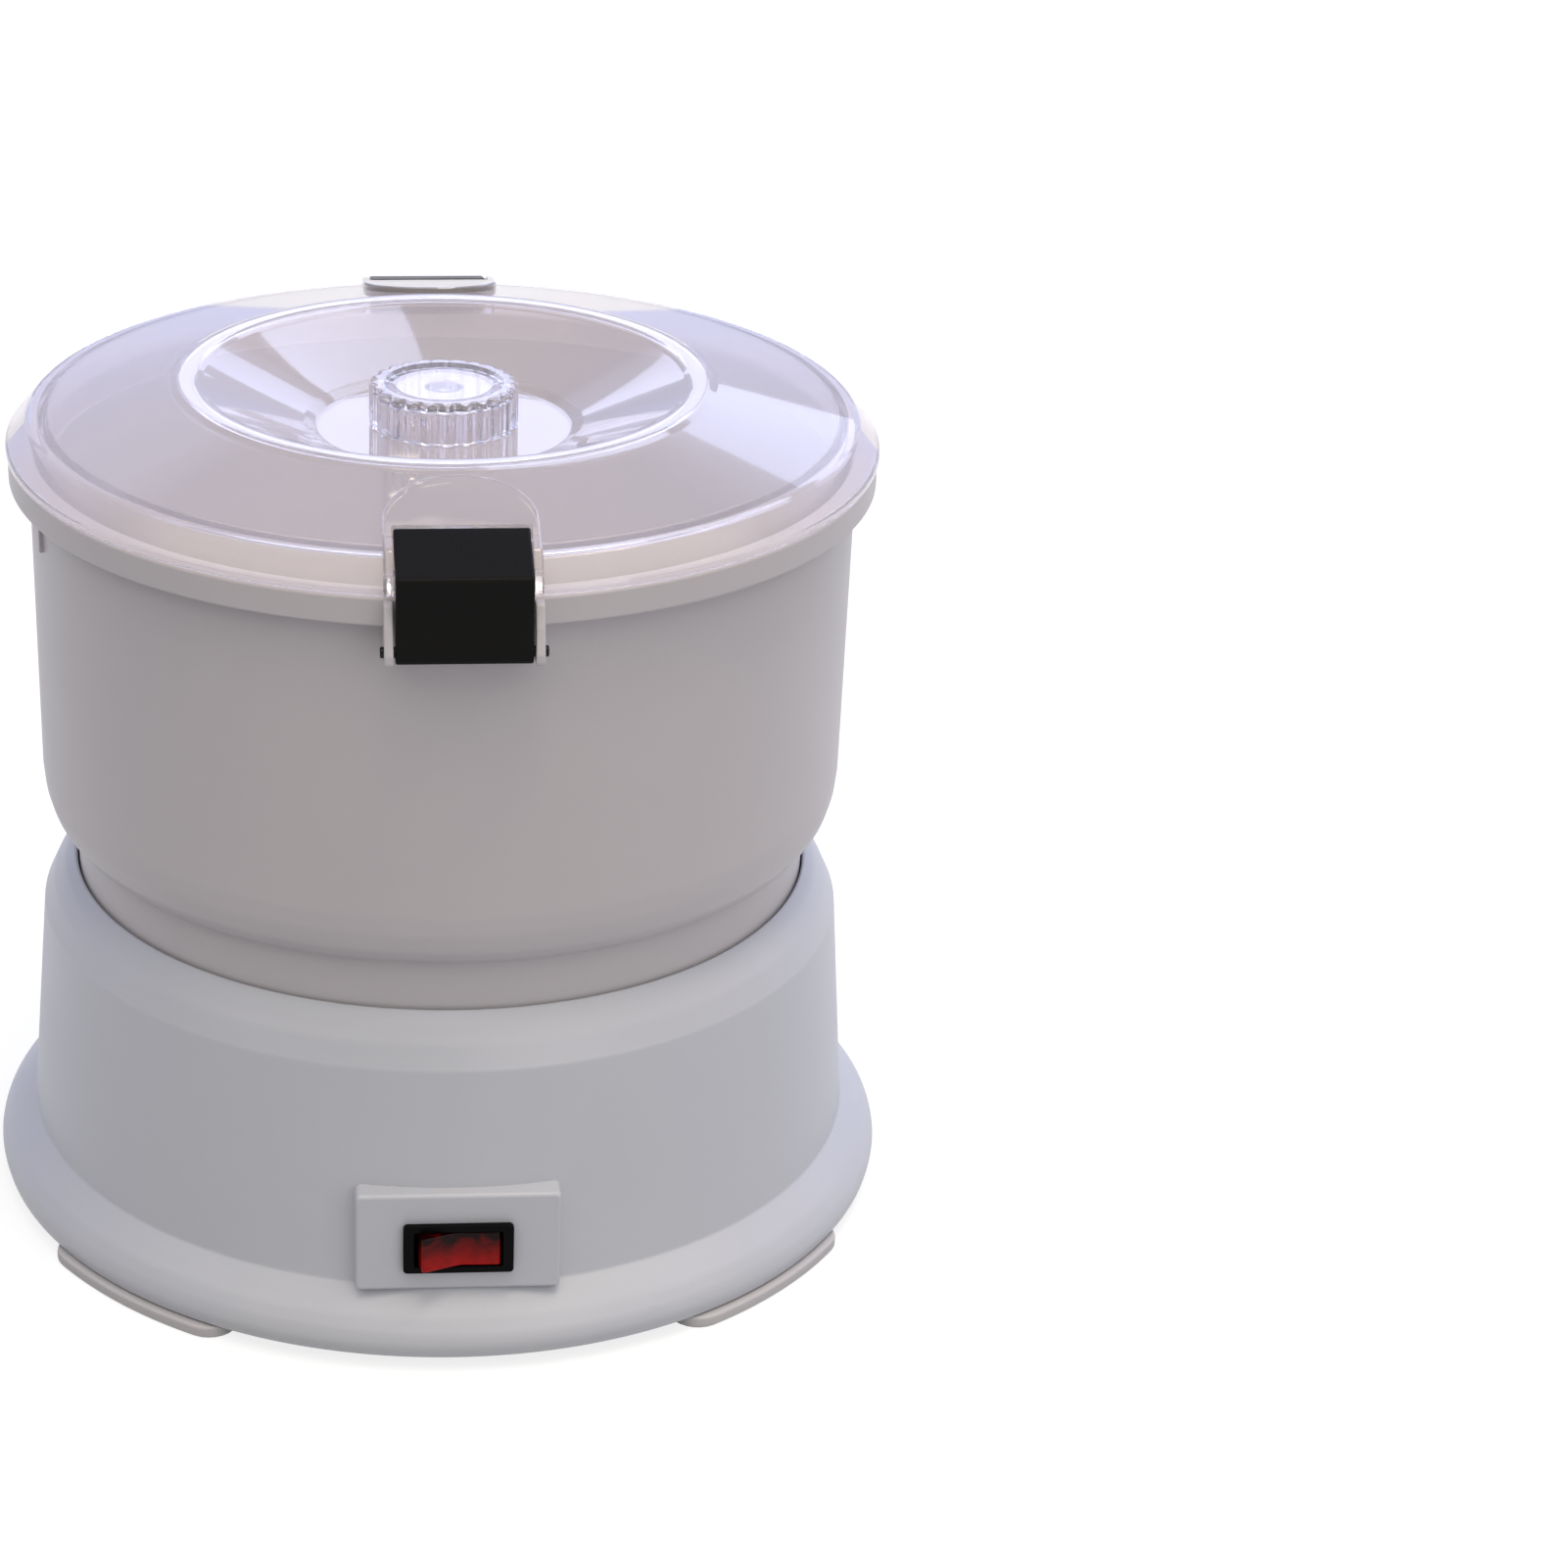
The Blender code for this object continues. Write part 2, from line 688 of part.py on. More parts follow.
def base_outline():
    """Outer face of the housing, from the hole in its deck out and down to the skirt."""
    inward = WALL_TOP_RADIUS - SEAM_RADIUS
    outline = [(SLEEVE_RADIUS + GAP, DECK_Z), (SEAM_RADIUS, DECK_Z), (SEAM_RADIUS, SEAM_Z)]
    for across_share, up_share in SHOULDER_SHARES:
        outline.append((WALL_TOP_RADIUS - inward * across_share, WALL_TOP_Z + SHOULDER_RISE * up_share))
    outline.append((WALL_TOP_RADIUS, WALL_TOP_Z))
    outline.append((WALL_FOOT_RADIUS, PAD_LOW_Z))
    bulge_z = SKIRT_Z + SKIRT_BULGE_RISE
    for in_share, up_share in FLARE_SHARES:
        outline.append((
            SKIRT_RADIUS - SKIRT_FLARE * in_share,
            bulge_z + (PAD_LOW_Z - bulge_z) * up_share,
        ))
    outline.append((SKIRT_RADIUS, bulge_z))
    outline.append((SKIRT_EDGE_RADIUS, SKIRT_Z))
    return outline


def column_places():
    """Where the bottom plate screws on."""
    return circle_places(COLUMN_COUNT, COLUMN_CIRCLE, math.pi / COLUMN_COUNT)


def motor_bolt_places():
    """Where the motor's bracket screws on, at two opposite corners."""
    half = MOTOR_BOLT_HALF_PITCH
    return [Vector((MOTOR_OFFSET + half * side, half * side, 0.0)) for side in (-1, 1)]


def sleeve_bolt_places():
    """Where the bearing sleeve screws on."""
    return circle_places(SLEEVE_BOLT_COUNT, SLEEVE_BOLT_CIRCLE)


def uprights(places, radius, low, high):
    """A set of equal upright rods."""
    lift = Vector((0.0, 0.0, 1.0))
    return [rod(radius, place + lift * low, place + lift * high) for place in places]


def base_housing():
    """Moulded housing with its bosses, switch pad and cord hole."""
    housing = shell("base_housing", base_outline(), GREY_PLASTIC, WALL)
    root_z = DECK_Z - WALL / 2
    bosses = uprights(column_places(), COLUMN_RADIUS, PLATE_Z + GAP, root_z)
    bosses += uprights(motor_bolt_places(), MOTOR_BOSS_RADIUS, MOTOR_BOLT_LOW_Z, root_z)
    bosses += uprights(sleeve_bolt_places(), SLEEVE_BOSS_RADIUS, DECK_LOW_Z - SLEEVE_BOSS_HEIGHT, root_z)
    join(housing, "housing_bosses", group(bosses))
    half = PAD_WIDTH / 2
    root = PAD_FACE - PAD_ROOT
    join(housing, "switch_pad", box((-half, -PAD_FACE, PAD_LOW_Z), (half, -root, PAD_Z)))
    bore = SCREW_RADIUS + GAP
    holes = uprights(
        column_places(), bore, PLATE_Z - OVERRUN, PLATE_Z + COLUMN_SCREW_LENGTH + SCREW_SPARE
    )
    holes += uprights(
        motor_bolt_places(), bore, MOTOR_BOLT_LOW_Z - OVERRUN,
        BRACKET_LOW_Z + SHORT_SCREW_LENGTH + SCREW_SPARE,
    )
    holes += uprights(
        sleeve_bolt_places(), bore, FLANGE_Z,
        FLANGE_LOW_Z + SHORT_SCREW_LENGTH + SCREW_SPARE,
    )
    rear = wall_radius(INLET_Z)
    holes.append(rod(
        INLET_RADIUS + GAP,
        (0.0, rear - INLET_HOLE_REACH, INLET_Z),
        (0.0, rear + INLET_HOLE_REACH, INLET_Z),
    ))
    cut(housing, "housing_holes", group(holes))
    inner = half - WALL
    cut(housing, "pad_hollow", box(
        (-inner, -PAD_FACE + WALL, PAD_LOW_Z + WALL),
        (inner, -PAD_FACE + PAD_DEPTH_INSIDE, PAD_Z - WALL),
    ))
    wide = SWITCH_WIDTH / 2 + GAP
    tall = SWITCH_HEIGHT / 2 + GAP
    cut(housing, "switch_window", box(
        (-wide, -PAD_FACE - OVERRUN, SWITCH_Z - tall),
        (wide, -PAD_FACE + WALL + OVERRUN, SWITCH_Z + tall),
    ))


def foot_centres():
    """Angle of each foot, counted from +Y towards +X."""
    return {
        "foot_rear_right": FOOT_ANGLE,
        "foot_front_right": math.pi - FOOT_ANGLE,
        "foot_front_left": math.pi + FOOT_ANGLE,
        "foot_rear_left": -FOOT_ANGLE,
    }


def peg_places(centre):
    """Where a foot's two pegs go up through the bottom plate."""
    radius = SKIRT_RADIUS - PEG_INSET
    return [on_circle(radius, centre - PEG_SPREAD), on_circle(radius, centre + PEG_SPREAD)]


def foot_outline(centre):
    """Arc with round ends, seen from above."""
    half = FOOT_WIDTH / 2
    middle = SKIRT_RADIUS + FOOT_OVERHANG - half
    end_angle = half / middle
    reach = FOOT_SPAN / 2 - end_angle
    outline = []
    for side in (1, -1):
        for index in range(FOOT_ARC_STEPS + 1):
            angle = centre - side * reach + side * 2 * reach * index / FOOT_ARC_STEPS
            outline.append(on_circle(middle + side * half, angle).xy)
        turn_angle = centre + side * reach
        hub = on_circle(middle, turn_angle)
        for index in range(1, FOOT_END_STEPS):
            swing = turn_angle + math.pi * index / FOOT_END_STEPS
            outline.append((hub + on_circle(side * half, swing)).xy)
    return outline


def feet():
    """Four arc-shaped feet with their pegs."""
    for name, centre in foot_centres().items():
        foot = solid(name, slab(foot_outline(centre), 0.0, FOOT_HEIGHT - GAP), GREY_RUBBER)
        pegs = uprights(peg_places(centre), PEG_RADIUS, FOOT_HEIGHT / 2, PLATE_Z)
        join(foot, name + "_pegs", group(pegs))


def bottom_plate():
    """Plate with vent slots, screw holes and the capacitor's socket."""
    outline = [(0.0, PLATE_Z), (PLATE_RADIUS, PLATE_Z), (PLATE_RADIUS, PLATE_LOW_Z), (0.0, PLATE_LOW_Z)]
    plate = turned("bottom_plate", outline, DARK_PLASTIC, SHELL_STEPS)
    bore = CAPACITOR_RADIUS + GAP
    socket_ring = turned(
        "capacitor_socket",
        ring(bore + SOCKET_WALL, bore, PLATE_Z - PLATE_THICKNESS / 2, PLATE_Z + SOCKET_HEIGHT),
        None, SMALL_STEPS, closed=True, spot=CAPACITOR_SPOT, home=CUTTERS,
    )
    combine(plate, as_cutter(socket_ring), "UNION")
    low = PLATE_LOW_Z - OVERRUN
    high = PLATE_Z + OVERRUN
    holes = uprights(column_places(), SCREW_RADIUS + GAP, low, high)
    for centre in foot_centres().values():
        holes += uprights(peg_places(centre), PEG_RADIUS + GAP, low, high)
    half = VENT_WIDTH / 2
    start = VENT_CIRCLE - VENT_LENGTH / 2
    skipped = nearest_slot(math.atan2(CAPACITOR_SPOT[1], CAPACITOR_SPOT[0]))
    for index in range(VENT_COUNT):
        if index != skipped:
            turn = index * math.tau / VENT_COUNT
            holes.append(box((start, -half, low), (start + VENT_LENGTH, half, high), turn))
    cut(plate, "plate_holes", group(holes))
    screws("bottom_screw", COLUMN_SCREW_LENGTH, PLATE_LOW_Z - GAP, column_places())


def nearest_slot(angle):
    """Number of the vent slot that lies nearest to an angle."""
    return round(angle / (math.tau / VENT_COUNT)) % VENT_COUNT


# Switch


def switch():
    """Rocker switch: body with its bezel, rocker, lamp and terminals."""
    face = PAD_FACE + GAP
    front = face + BEZEL_THICKNESS
    wide = SWITCH_WIDTH / 2
    tall = SWITCH_HEIGHT / 2
    back = face - SWITCH_DEPTH
    body = solid(
        "switch_body", box((-wide, -face, SWITCH_Z - tall), (wide, -back, SWITCH_Z + tall)), DARK_PLASTIC
    )
    join(body, "switch_bezel", box(
        (-BEZEL_WIDTH / 2, -front, SWITCH_Z - BEZEL_HEIGHT / 2),
        (BEZEL_WIDTH / 2, -face, SWITCH_Z + BEZEL_HEIGHT / 2),
    ))
    pocket = ROCKER_HALF_WIDTH + ROCKER_CLEARANCE
    room = ROCKER_HEIGHT / 2 + GAP
    floor = front - ROCKER_POCKET_DEPTH - BEZEL_THICKNESS
    cut(body, "rocker_pocket", box(
        (-pocket, -front - OVERRUN, SWITCH_Z - room), (pocket, -floor, SWITCH_Z + room)
    ))
    lamp_bore = LAMP_RADIUS + GAP
    lamp_end = floor - LAMP_DEPTH
    cut(body, "lamp_bore", rod(
        lamp_bore, (0.0, -floor - OVERRUN, SWITCH_Z), (0.0, -lamp_end, SWITCH_Z)
    ))
    solid("indicator_lamp", rod(
        LAMP_RADIUS, (0.0, -lamp_end - GAP, SWITCH_Z), (0.0, -lamp_end - GAP - LAMP_DEPTH, SWITCH_Z)
    ), GLASS)
    half = TERMINAL_THICKNESS / 2
    for name, middle in (("live_terminal", -TERMINAL_PITCH), ("switched_terminal", TERMINAL_PITCH)):
        solid(name, box(
            (middle - half, -back + GAP, SWITCH_Z - TERMINAL_WIDTH / 2),
            (middle + half, -back + GAP + TERMINAL_LENGTH, SWITCH_Z + TERMINAL_WIDTH / 2),
        ), BRONZE)
    pivot_y = -(face - ROCKER_PIVOT_DEPTH)
    outline = [
        (-ROCKER_HALF_WIDTH, -ROCKER_CROWN),
        (0.0, -ROCKER_CROWN + ROCKER_HOLLOW),
        (ROCKER_HALF_WIDTH, -ROCKER_CROWN),
        (ROCKER_HALF_WIDTH, -ROCKER_SIDE),
        (ROCKER_HEEL_HALF_WIDTH, ROCKER_HEEL),
        (-ROCKER_HEEL_HALF_WIDTH, ROCKER_HEEL),
        (-ROCKER_HALF_WIDTH, -ROCKER_SIDE),
    ]
    place = Matrix.Translation((0.0, pivot_y, 0.0)) @ Matrix.Rotation(ROCKER_TILT, 4, "Z")
    half = ROCKER_HEIGHT / 2
    rocker = solid("rocker", slab(outline, SWITCH_Z - half, SWITCH_Z + half, place), RED_LENS)
    carry(pivot("rocker_axis", (0.0, pivot_y, SWITCH_Z)), rocker)


# Drive


def bearing_sleeve():
    """Sleeve that stands up through the deck, with both bearings and the seal."""
    pocket = BEARING_RADIUS + GAP
    low_step = LOWER_BEARING_Z + GAP
    high_step = UPPER_BEARING_Z - BEARING_HEIGHT - GAP
    outline = [
        (SLEEVE_RADIUS, SLEEVE_Z),
        (SLEEVE_RADIUS, FLANGE_Z),
        (SLEEVE_FLANGE_RADIUS, FLANGE_Z),
        (SLEEVE_FLANGE_RADIUS, FLANGE_LOW_Z),
        (SLEEVE_RADIUS, FLANGE_LOW_Z),
        (SLEEVE_RADIUS, SLEEVE_LOW_Z),
        (pocket, SLEEVE_LOW_Z),
        (pocket, low_step),
        (SLEEVE_LAND, low_step),
        (SLEEVE_LAND, high_step),
        (pocket, high_step),
        (pocket, SLEEVE_Z),
    ]
    sleeve = turned("bearing_sleeve", outline, WHITE_NYLON, SMALL_STEPS, closed=True)
    cut(sleeve, "sleeve_holes", group(uprights(
        sleeve_bolt_places(), SCREW_RADIUS + GAP, FLANGE_LOW_Z - OVERRUN, FLANGE_Z + OVERRUN
    )))
    screws("sleeve_screw", SHORT_SCREW_LENGTH, FLANGE_LOW_Z - GAP, sleeve_bolt_places())
    for name, top in (("lower_bearing", LOWER_BEARING_Z), ("upper_bearing", UPPER_BEARING_Z)):
        bearing = ring(BEARING_RADIUS, SHAFT_BORE, top - BEARING_HEIGHT, top)
        turned(name, bearing, STEEL, SMALL_STEPS, closed=True)
    seal_low = SEAL_Z - SEAL_HEIGHT
    seal = [
        (BEARING_RADIUS, SEAL_Z),
        (BEARING_RADIUS, seal_low),
        (SHAFT_BORE + SEAL_LIP, seal_low),
        (SHAFT_BORE, SEAL_Z - SEAL_HEIGHT / 2),
        (SHAFT_BORE, SEAL_Z),
    ]
    turned("shaft_seal", seal, BLACK_RUBBER, SMALL_STEPS, closed=True)


def large_pulley_outline():
    """Pulley with a flanged rim, a thin web and a hub that reaches up to the bearing."""
    web = (PULLEY_Z + PULLEY_LOW_Z) / 2
    rim = LARGE_GROOVE - PULLEY_RIM
    hub_top = SLEEVE_LOW_Z
    return [
        (PULLEY_HUB_RADIUS, hub_top),
        (PULLEY_HUB_RADIUS, web + PULLEY_WEB / 2),
        (rim, web + PULLEY_WEB / 2),
        (rim, PULLEY_Z),
        (LARGE_PULLEY_RADIUS, PULLEY_Z),
        (LARGE_PULLEY_RADIUS, PULLEY_Z - PULLEY_FLANGE),
        (LARGE_GROOVE, PULLEY_Z - PULLEY_FLANGE),
        (LARGE_GROOVE, PULLEY_LOW_Z + PULLEY_FLANGE),
        (LARGE_PULLEY_RADIUS, PULLEY_LOW_Z + PULLEY_FLANGE),
        (LARGE_PULLEY_RADIUS, PULLEY_LOW_Z),
        (rim, PULLEY_LOW_Z),
        (rim, web - PULLEY_WEB / 2),
        (PULLEY_HUB_RADIUS, web - PULLEY_WEB / 2),
        (PULLEY_HUB_RADIUS, PULLEY_LOW_Z),
        (SHAFT_BORE, PULLEY_LOW_Z),
        (SHAFT_BORE, hub_top),
    ]


def small_pulley_outline():
    """Pulley on the rotor's shaft."""
    bore = ROTOR_SHAFT_RADIUS + GAP
    return [
        (SMALL_PULLEY_RADIUS, PULLEY_Z),
        (SMALL_PULLEY_RADIUS, PULLEY_Z - PULLEY_FLANGE),
        (SMALL_GROOVE, PULLEY_Z - PULLEY_FLANGE),
        (SMALL_GROOVE, PULLEY_LOW_Z + PULLEY_FLANGE),
        (SMALL_PULLEY_RADIUS, PULLEY_LOW_Z + PULLEY_FLANGE),
        (SMALL_PULLEY_RADIUS, PULLEY_LOW_Z),
        (bore, PULLEY_LOW_Z),
        (bore, PULLEY_Z),
    ]


def drive_shaft():
    """Shaft, the pieces it turns with, and the empty on its axis."""
    shaft = solid("drive_shaft", rod(
        SHAFT_RADIUS, (0.0, 0.0, NUT_LOW_Z - SHAFT_TAIL), (0.0, 0.0, SHAFT_Z), SMALL_STEPS
    ), STEEL)
    pulley = turned("large_pulley", large_pulley_outline(), WHITE_NYLON, PULLEY_STEPS, closed=True)
    nut = solid("pulley_nut", rod(
        NUT_RADIUS, (0.0, 0.0, NUT_LOW_Z), (0.0, 0.0, NUT_Z), HEX_SIDES
    ), STEEL)
    cut(nut, "nut_bore", rod(
        SHAFT_BORE, (0.0, 0.0, NUT_LOW_Z - OVERRUN), (0.0, 0.0, NUT_Z + OVERRUN), SMALL_STEPS
    ))
    ring_low = SLEEVE_Z + GAP
    keeper = turned(
        "retaining_ring", ring(RING_RADIUS, SHAFT_BORE, ring_low, ring_low + RING_HEIGHT),
        STEEL, SMALL_STEPS, closed=True,
    )
    head = solid("drive_head", rod(
        HEAD_RADIUS, (0.0, 0.0, HEAD_Z), (0.0, 0.0, HEAD_TOP_Z), HEX_SIDES
    ), STEEL)
    cut(head, "head_bore", rod(
        SHAFT_BORE, (0.0, 0.0, HEAD_Z - OVERRUN), (0.0, 0.0, HEAD_TOP_Z - HEAD_ROOF), SMALL_STEPS
    ))
    carry(pivot("shaft_axis", (0.0, 0.0, SLEEVE_LOW_Z)), shaft, pulley, nut, keeper, head)


def belt_outline(spread):
    """Closed loop round both pulleys, at a distance outside their grooves."""
    large = LARGE_GROOVE + spread
    small = SMALL_GROOVE + spread
    lean = math.acos((large - small) / MOTOR_OFFSET)
    outline = []
    for radius, centre, start, end in (
        (large, 0.0, lean, math.tau - lean),
        (small, MOTOR_OFFSET, -lean, lean),
    ):
        count = math.ceil((end - start) / BELT_ARC_STEP)
        for index in range(count + 1):
            angle = start + (end - start) * index / count
            outline.append((centre + radius * math.cos(angle), radius * math.sin(angle)))
    return outline


def drive_belt():
    """Flat belt, modelled at rest."""
    low = PULLEY_LOW_Z + PULLEY_FLANGE + GAP
    high = PULLEY_Z - PULLEY_FLANGE - GAP
    loop = slab(belt_outline(GAP + BELT_THICKNESS), low, high, holes=[belt_outline(GAP)])
    solid("drive_belt", loop, BLACK_RUBBER)


def motor():
    """Motor hung from the deck, beside the drive shaft."""
    spot = (MOTOR_OFFSET, 0.0)
    bush_bore = BUSH_RADIUS + GAP
    collar = bush_bore + BUSH_COLLAR
    roof = MOTOR_Z - MOTOR_WALL
    inner = MOTOR_RADIUS - MOTOR_WALL
    case = [
        (0.0, MOTOR_Z),
        (MOTOR_RADIUS, MOTOR_Z),
        (MOTOR_RADIUS, MOTOR_LOW_Z),
        (inner, MOTOR_LOW_Z),
        (inner, roof),
        (collar, roof),
        (collar, roof - BUSH_HEIGHT),
        (bush_bore, roof - BUSH_HEIGHT),
        (bush_bore, roof),
        (0.0, roof),
    ]
    turned("motor_case", case, STEEL, SMALL_STEPS, spot=spot)
    cap_z = END_CAP_LOW_Z + END_CAP_THICKNESS
    shaft_hole = ROTOR_SHAFT_RADIUS + GAP
    cap = [
        (bush_bore, cap_z + BUSH_HEIGHT),
        (collar, cap_z + BUSH_HEIGHT),
        (collar, cap_z),
        (MOTOR_RADIUS, cap_z),
        (MOTOR_RADIUS, END_CAP_LOW_Z),
        (shaft_hole, END_CAP_LOW_Z),
        (shaft_hole, cap_z),
        (bush_bore, cap_z),
    ]
    turned("motor_end_cap", cap, DARK_PLASTIC, SMALL_STEPS, closed=True, spot=spot)
    for name, low in (
        ("motor_lower_bush", cap_z + GAP),
        ("motor_upper_bush", roof - GAP - BUSH_HEIGHT),
    ):
        bush = ring(BUSH_RADIUS, ROTOR_SHAFT_RADIUS + GAP, low, low + BUSH_HEIGHT)
        turned(name, bush, BRONZE, ROD_SIDES, closed=True, spot=spot)
    stator_radius = inner - GAP
    middle = (roof + MOTOR_LOW_Z) / 2
    stator = ring(
        stator_radius,
        stator_radius - STATOR_THICKNESS,
        middle - STATOR_HEIGHT / 2,
        middle + STATOR_HEIGHT / 2,
    )
    turned("motor_stator", stator, COPPER, SMALL_STEPS, closed=True, spot=spot)
    core = stator_radius - STATOR_THICKNESS - ROTOR_AIR_GAP
    shaft_top = roof - GAP * 2
    shaft_low = PULLEY_LOW_Z - SHAFT_TAIL
    rotor_outline = [
        (0.0, shaft_top),
        (ROTOR_SHAFT_RADIUS, shaft_top),
        (ROTOR_SHAFT_RADIUS, middle + ROTOR_HEIGHT / 2),
        (core, middle + ROTOR_HEIGHT / 2),
        (core, middle - ROTOR_HEIGHT / 2),
        (ROTOR_SHAFT_RADIUS, middle - ROTOR_HEIGHT / 2),
        (ROTOR_SHAFT_RADIUS, shaft_low),
        (0.0, shaft_low),
    ]
    rotor = turned("motor_rotor", rotor_outline, STEEL, SMALL_STEPS, spot=spot)
    pulley = turned(
        "small_pulley", small_pulley_outline(), WHITE_NYLON, SMALL_STEPS, closed=True, spot=spot
    )
    carry(pivot("rotor_axis", (*spot, MOTOR_LOW_Z)), rotor, pulley)
    reach = MOTOR_BOLT_HALF_PITCH + BRACKET_EDGE
    bracket = solid("motor_bracket", box(
        (MOTOR_OFFSET - reach, -reach, BRACKET_LOW_Z), (MOTOR_OFFSET + reach, reach, BRACKET_Z)
    ), STEEL)
    cut(bracket, "bracket_holes", group(uprights(
        motor_bolt_places(), SCREW_RADIUS + GAP, BRACKET_LOW_Z - OVERRUN, BRACKET_Z + OVERRUN
    )))
    screws("motor_screw", SHORT_SCREW_LENGTH, BRACKET_LOW_Z - GAP, motor_bolt_places())


# Electrical pieces


def cord_inlet():
    """Grommet where a cord comes in at the back."""
    rear = wall_radius(INLET_Z)
    outer = rear + GAP * 2
    inner = rear - WALL - INLET_CURVE
    outline = [
        (INLET_FLANGE_RADIUS, inner - INLET_FLANGE),
        (CORD_RADIUS, inner - INLET_FLANGE),
        (CORD_RADIUS, outer + INLET_FLANGE + INLET_NOSE),
        (INLET_RADIUS, outer + INLET_FLANGE + INLET_NOSE),
        (INLET_FLANGE_RADIUS, outer + INLET_FLANGE),
        (INLET_FLANGE_RADIUS, outer),
        (INLET_RADIUS, outer),
        (INLET_RADIUS, inner),
        (INLET_FLANGE_RADIUS, inner),
    ]
    inlet = turned("cord_inlet", outline, BLACK_RUBBER, ROD_SIDES, closed=True)
    inlet.rotation_euler = (-math.pi / 2, 0.0, 0.0)
    inlet.location = (0.0, 0.0, INLET_Z)


def wiring():
    """Capacitor, terminal block and the leads between them."""
    x, y = CAPACITOR_SPOT
    low = PLATE_Z + GAP
    solid("run_capacitor", rod(
        CAPACITOR_RADIUS, (x, y, low), (x, y, low + CAPACITOR_HEIGHT), SMALL_STEPS
    ), DARK_PLASTIC)
    width, depth, height = BLOCK_SIZE
    block_front = BLOCK_RADIUS - depth / 2
    solid("terminal_block", box(
        (-width / 2, block_front, low), (width / 2, block_front + depth, low + height)
    ), WHITE_NYLON)
    mid_z = low + height / 2
    terminal_y = -(PAD_FACE + GAP - SWITCH_DEPTH - GAP - TERMINAL_LENGTH) + GAP
    side = CAPACITOR_SPOT[0] + CAPACITOR_RADIUS * 2
    tube("live_lead", [
        (-width / 4, block_front - GAP, mid_z),
        (-width / 4, block_front - height, mid_z),
        (side, 0.0, low + LEAD_RADIUS * 2),
        (-TERMINAL_PITCH, terminal_y + LEAD_STRAIGHT, SWITCH_Z),
        (-TERMINAL_PITCH, terminal_y, SWITCH_Z),
    ], LEAD_RADIUS, BROWN_LEAD)
    case_z = (MOTOR_Z + MOTOR_LOW_Z) / 2
    case_edge = MOTOR_RADIUS + GAP
    tube("neutral_lead", [
        (width / 4, block_front - GAP, mid_z),
        (width / 4, block_front - height, mid_z),
        (MOTOR_OFFSET, case_edge + height * 2, mid_z + height),
        (MOTOR_OFFSET, case_edge + LEAD_STRAIGHT, case_z),
        (MOTOR_OFFSET, case_edge, case_z),
    ], LEAD_RADIUS, BLUE_LEAD)
    tube("switched_lead", [
        (TERMINAL_PITCH, terminal_y, SWITCH_Z),
        (TERMINAL_PITCH, terminal_y + LEAD_STRAIGHT, SWITCH_Z),
        (MOTOR_OFFSET, -case_edge - height * 2, mid_z + height),
        (MOTOR_OFFSET, -case_edge - LEAD_STRAIGHT, case_z),
        (MOTOR_OFFSET, -case_edge, case_z),
    ], LEAD_RADIUS, BROWN_LEAD)


# Bowl


def bowl_outline():
    """Lower and outer face of the bowl, from the lip of its rim in to its middle tube."""
    lip = RIM_RADIUS - WALL
    under_rim = RIM_Z - WALL
    foot_wall = BODY_RADIUS - BOWL_TAPER
    outline = [
        (lip, RIM_Z - RIM_HEIGHT),
        (lip, under_rim),
        (BODY_RADIUS, under_rim),
        (foot_wall, FLOOR_LOW_Z + BOWL_CORNER_RISE),
    ]
    for in_share, up_share in BOWL_CORNER_SHARES:
        outline.append((
            foot_wall - BOWL_CORNER_RUN * in_share,
            FLOOR_LOW_Z + BOWL_CORNER_RISE * up_share,
        ))
    outline.append((TUBE_RADIUS, FLOOR_LOW_Z))
    outline.append((TUBE_RADIUS, TUBE_Z))
    return outline


def ear_outline():
    """Side view of one ear, as radius and height."""
    barrel = BARREL_RADIUS + EAR_MARGIN
    top = RIM_Z - EAR_MARGIN * 2
    root = BODY_RADIUS - WALL / 2
    outline = [
        (root, PIVOT_Z - barrel * EAR_ROOT_SHARE),
        (PIVOT_RADIUS - barrel, PIVOT_Z - barrel * EAR_HEEL_SHARE),
    ]
    for index in range(BARREL_STEPS):
        angle = -math.pi / 2 + index * math.pi / 2 / (BARREL_STEPS - 1)
        outline.append((PIVOT_RADIUS + barrel * math.cos(angle), PIVOT_Z + barrel * math.sin(angle)))
    outline.append((PIVOT_RADIUS + barrel / 4, PIVOT_Z + barrel * 2))
    outline.append((RIM_RADIUS + barrel / 2, top))
    outline.append((root, top))
    return outline


def bowl():
    """Bowl with its foot band, ears and ribs."""
    piece = shell("bowl", bowl_outline(), GREY_PLASTIC, WALL)
    low = DECK_Z + GAP
    band = turned(
        "bowl_foot",
        ring(BOWL_FOOT_RADIUS, BOWL_FOOT_RADIUS - BOWL_FOOT_WALL, low, FLOOR_LOW_Z + WALL / 2),
        None, SHELL_STEPS, closed=True, home=CUTTERS,
    )
    combine(piece, as_cutter(band), "UNION")
    ears = []
    bores = []
    ribs = []
    end = EAR_END + OVERRUN
    for turn in SIDES.values():
        for start in (EAR_START, -EAR_END):
            ears.append(slab(ear_outline(), start, start + EAR_THICKNESS, across(turn)))
        spin = Matrix.Rotation(turn, 4, "Z")
        left = spin @ Vector((-end, PIVOT_RADIUS, PIVOT_Z))
        right = spin @ Vector((end, PIVOT_RADIUS, PIVOT_Z))
        bores.append(rod(PIN_RADIUS + GAP, left, right))
        rib_top = RIM_Z - RIM_HEIGHT / 2
        ribs.append(box(
            (-RIB_WIDTH / 2, BODY_RADIUS - WALL / 2, rib_top - RIB_HEIGHT),
            (RIB_WIDTH / 2, BODY_RADIUS + RIB_PROUD, rib_top),
            turn - RIB_ANGLE,
        ))
    join(piece, "latch_ears", group(ears + ribs))
    cut(piece, "pin_bores", group(bores))
    return piece


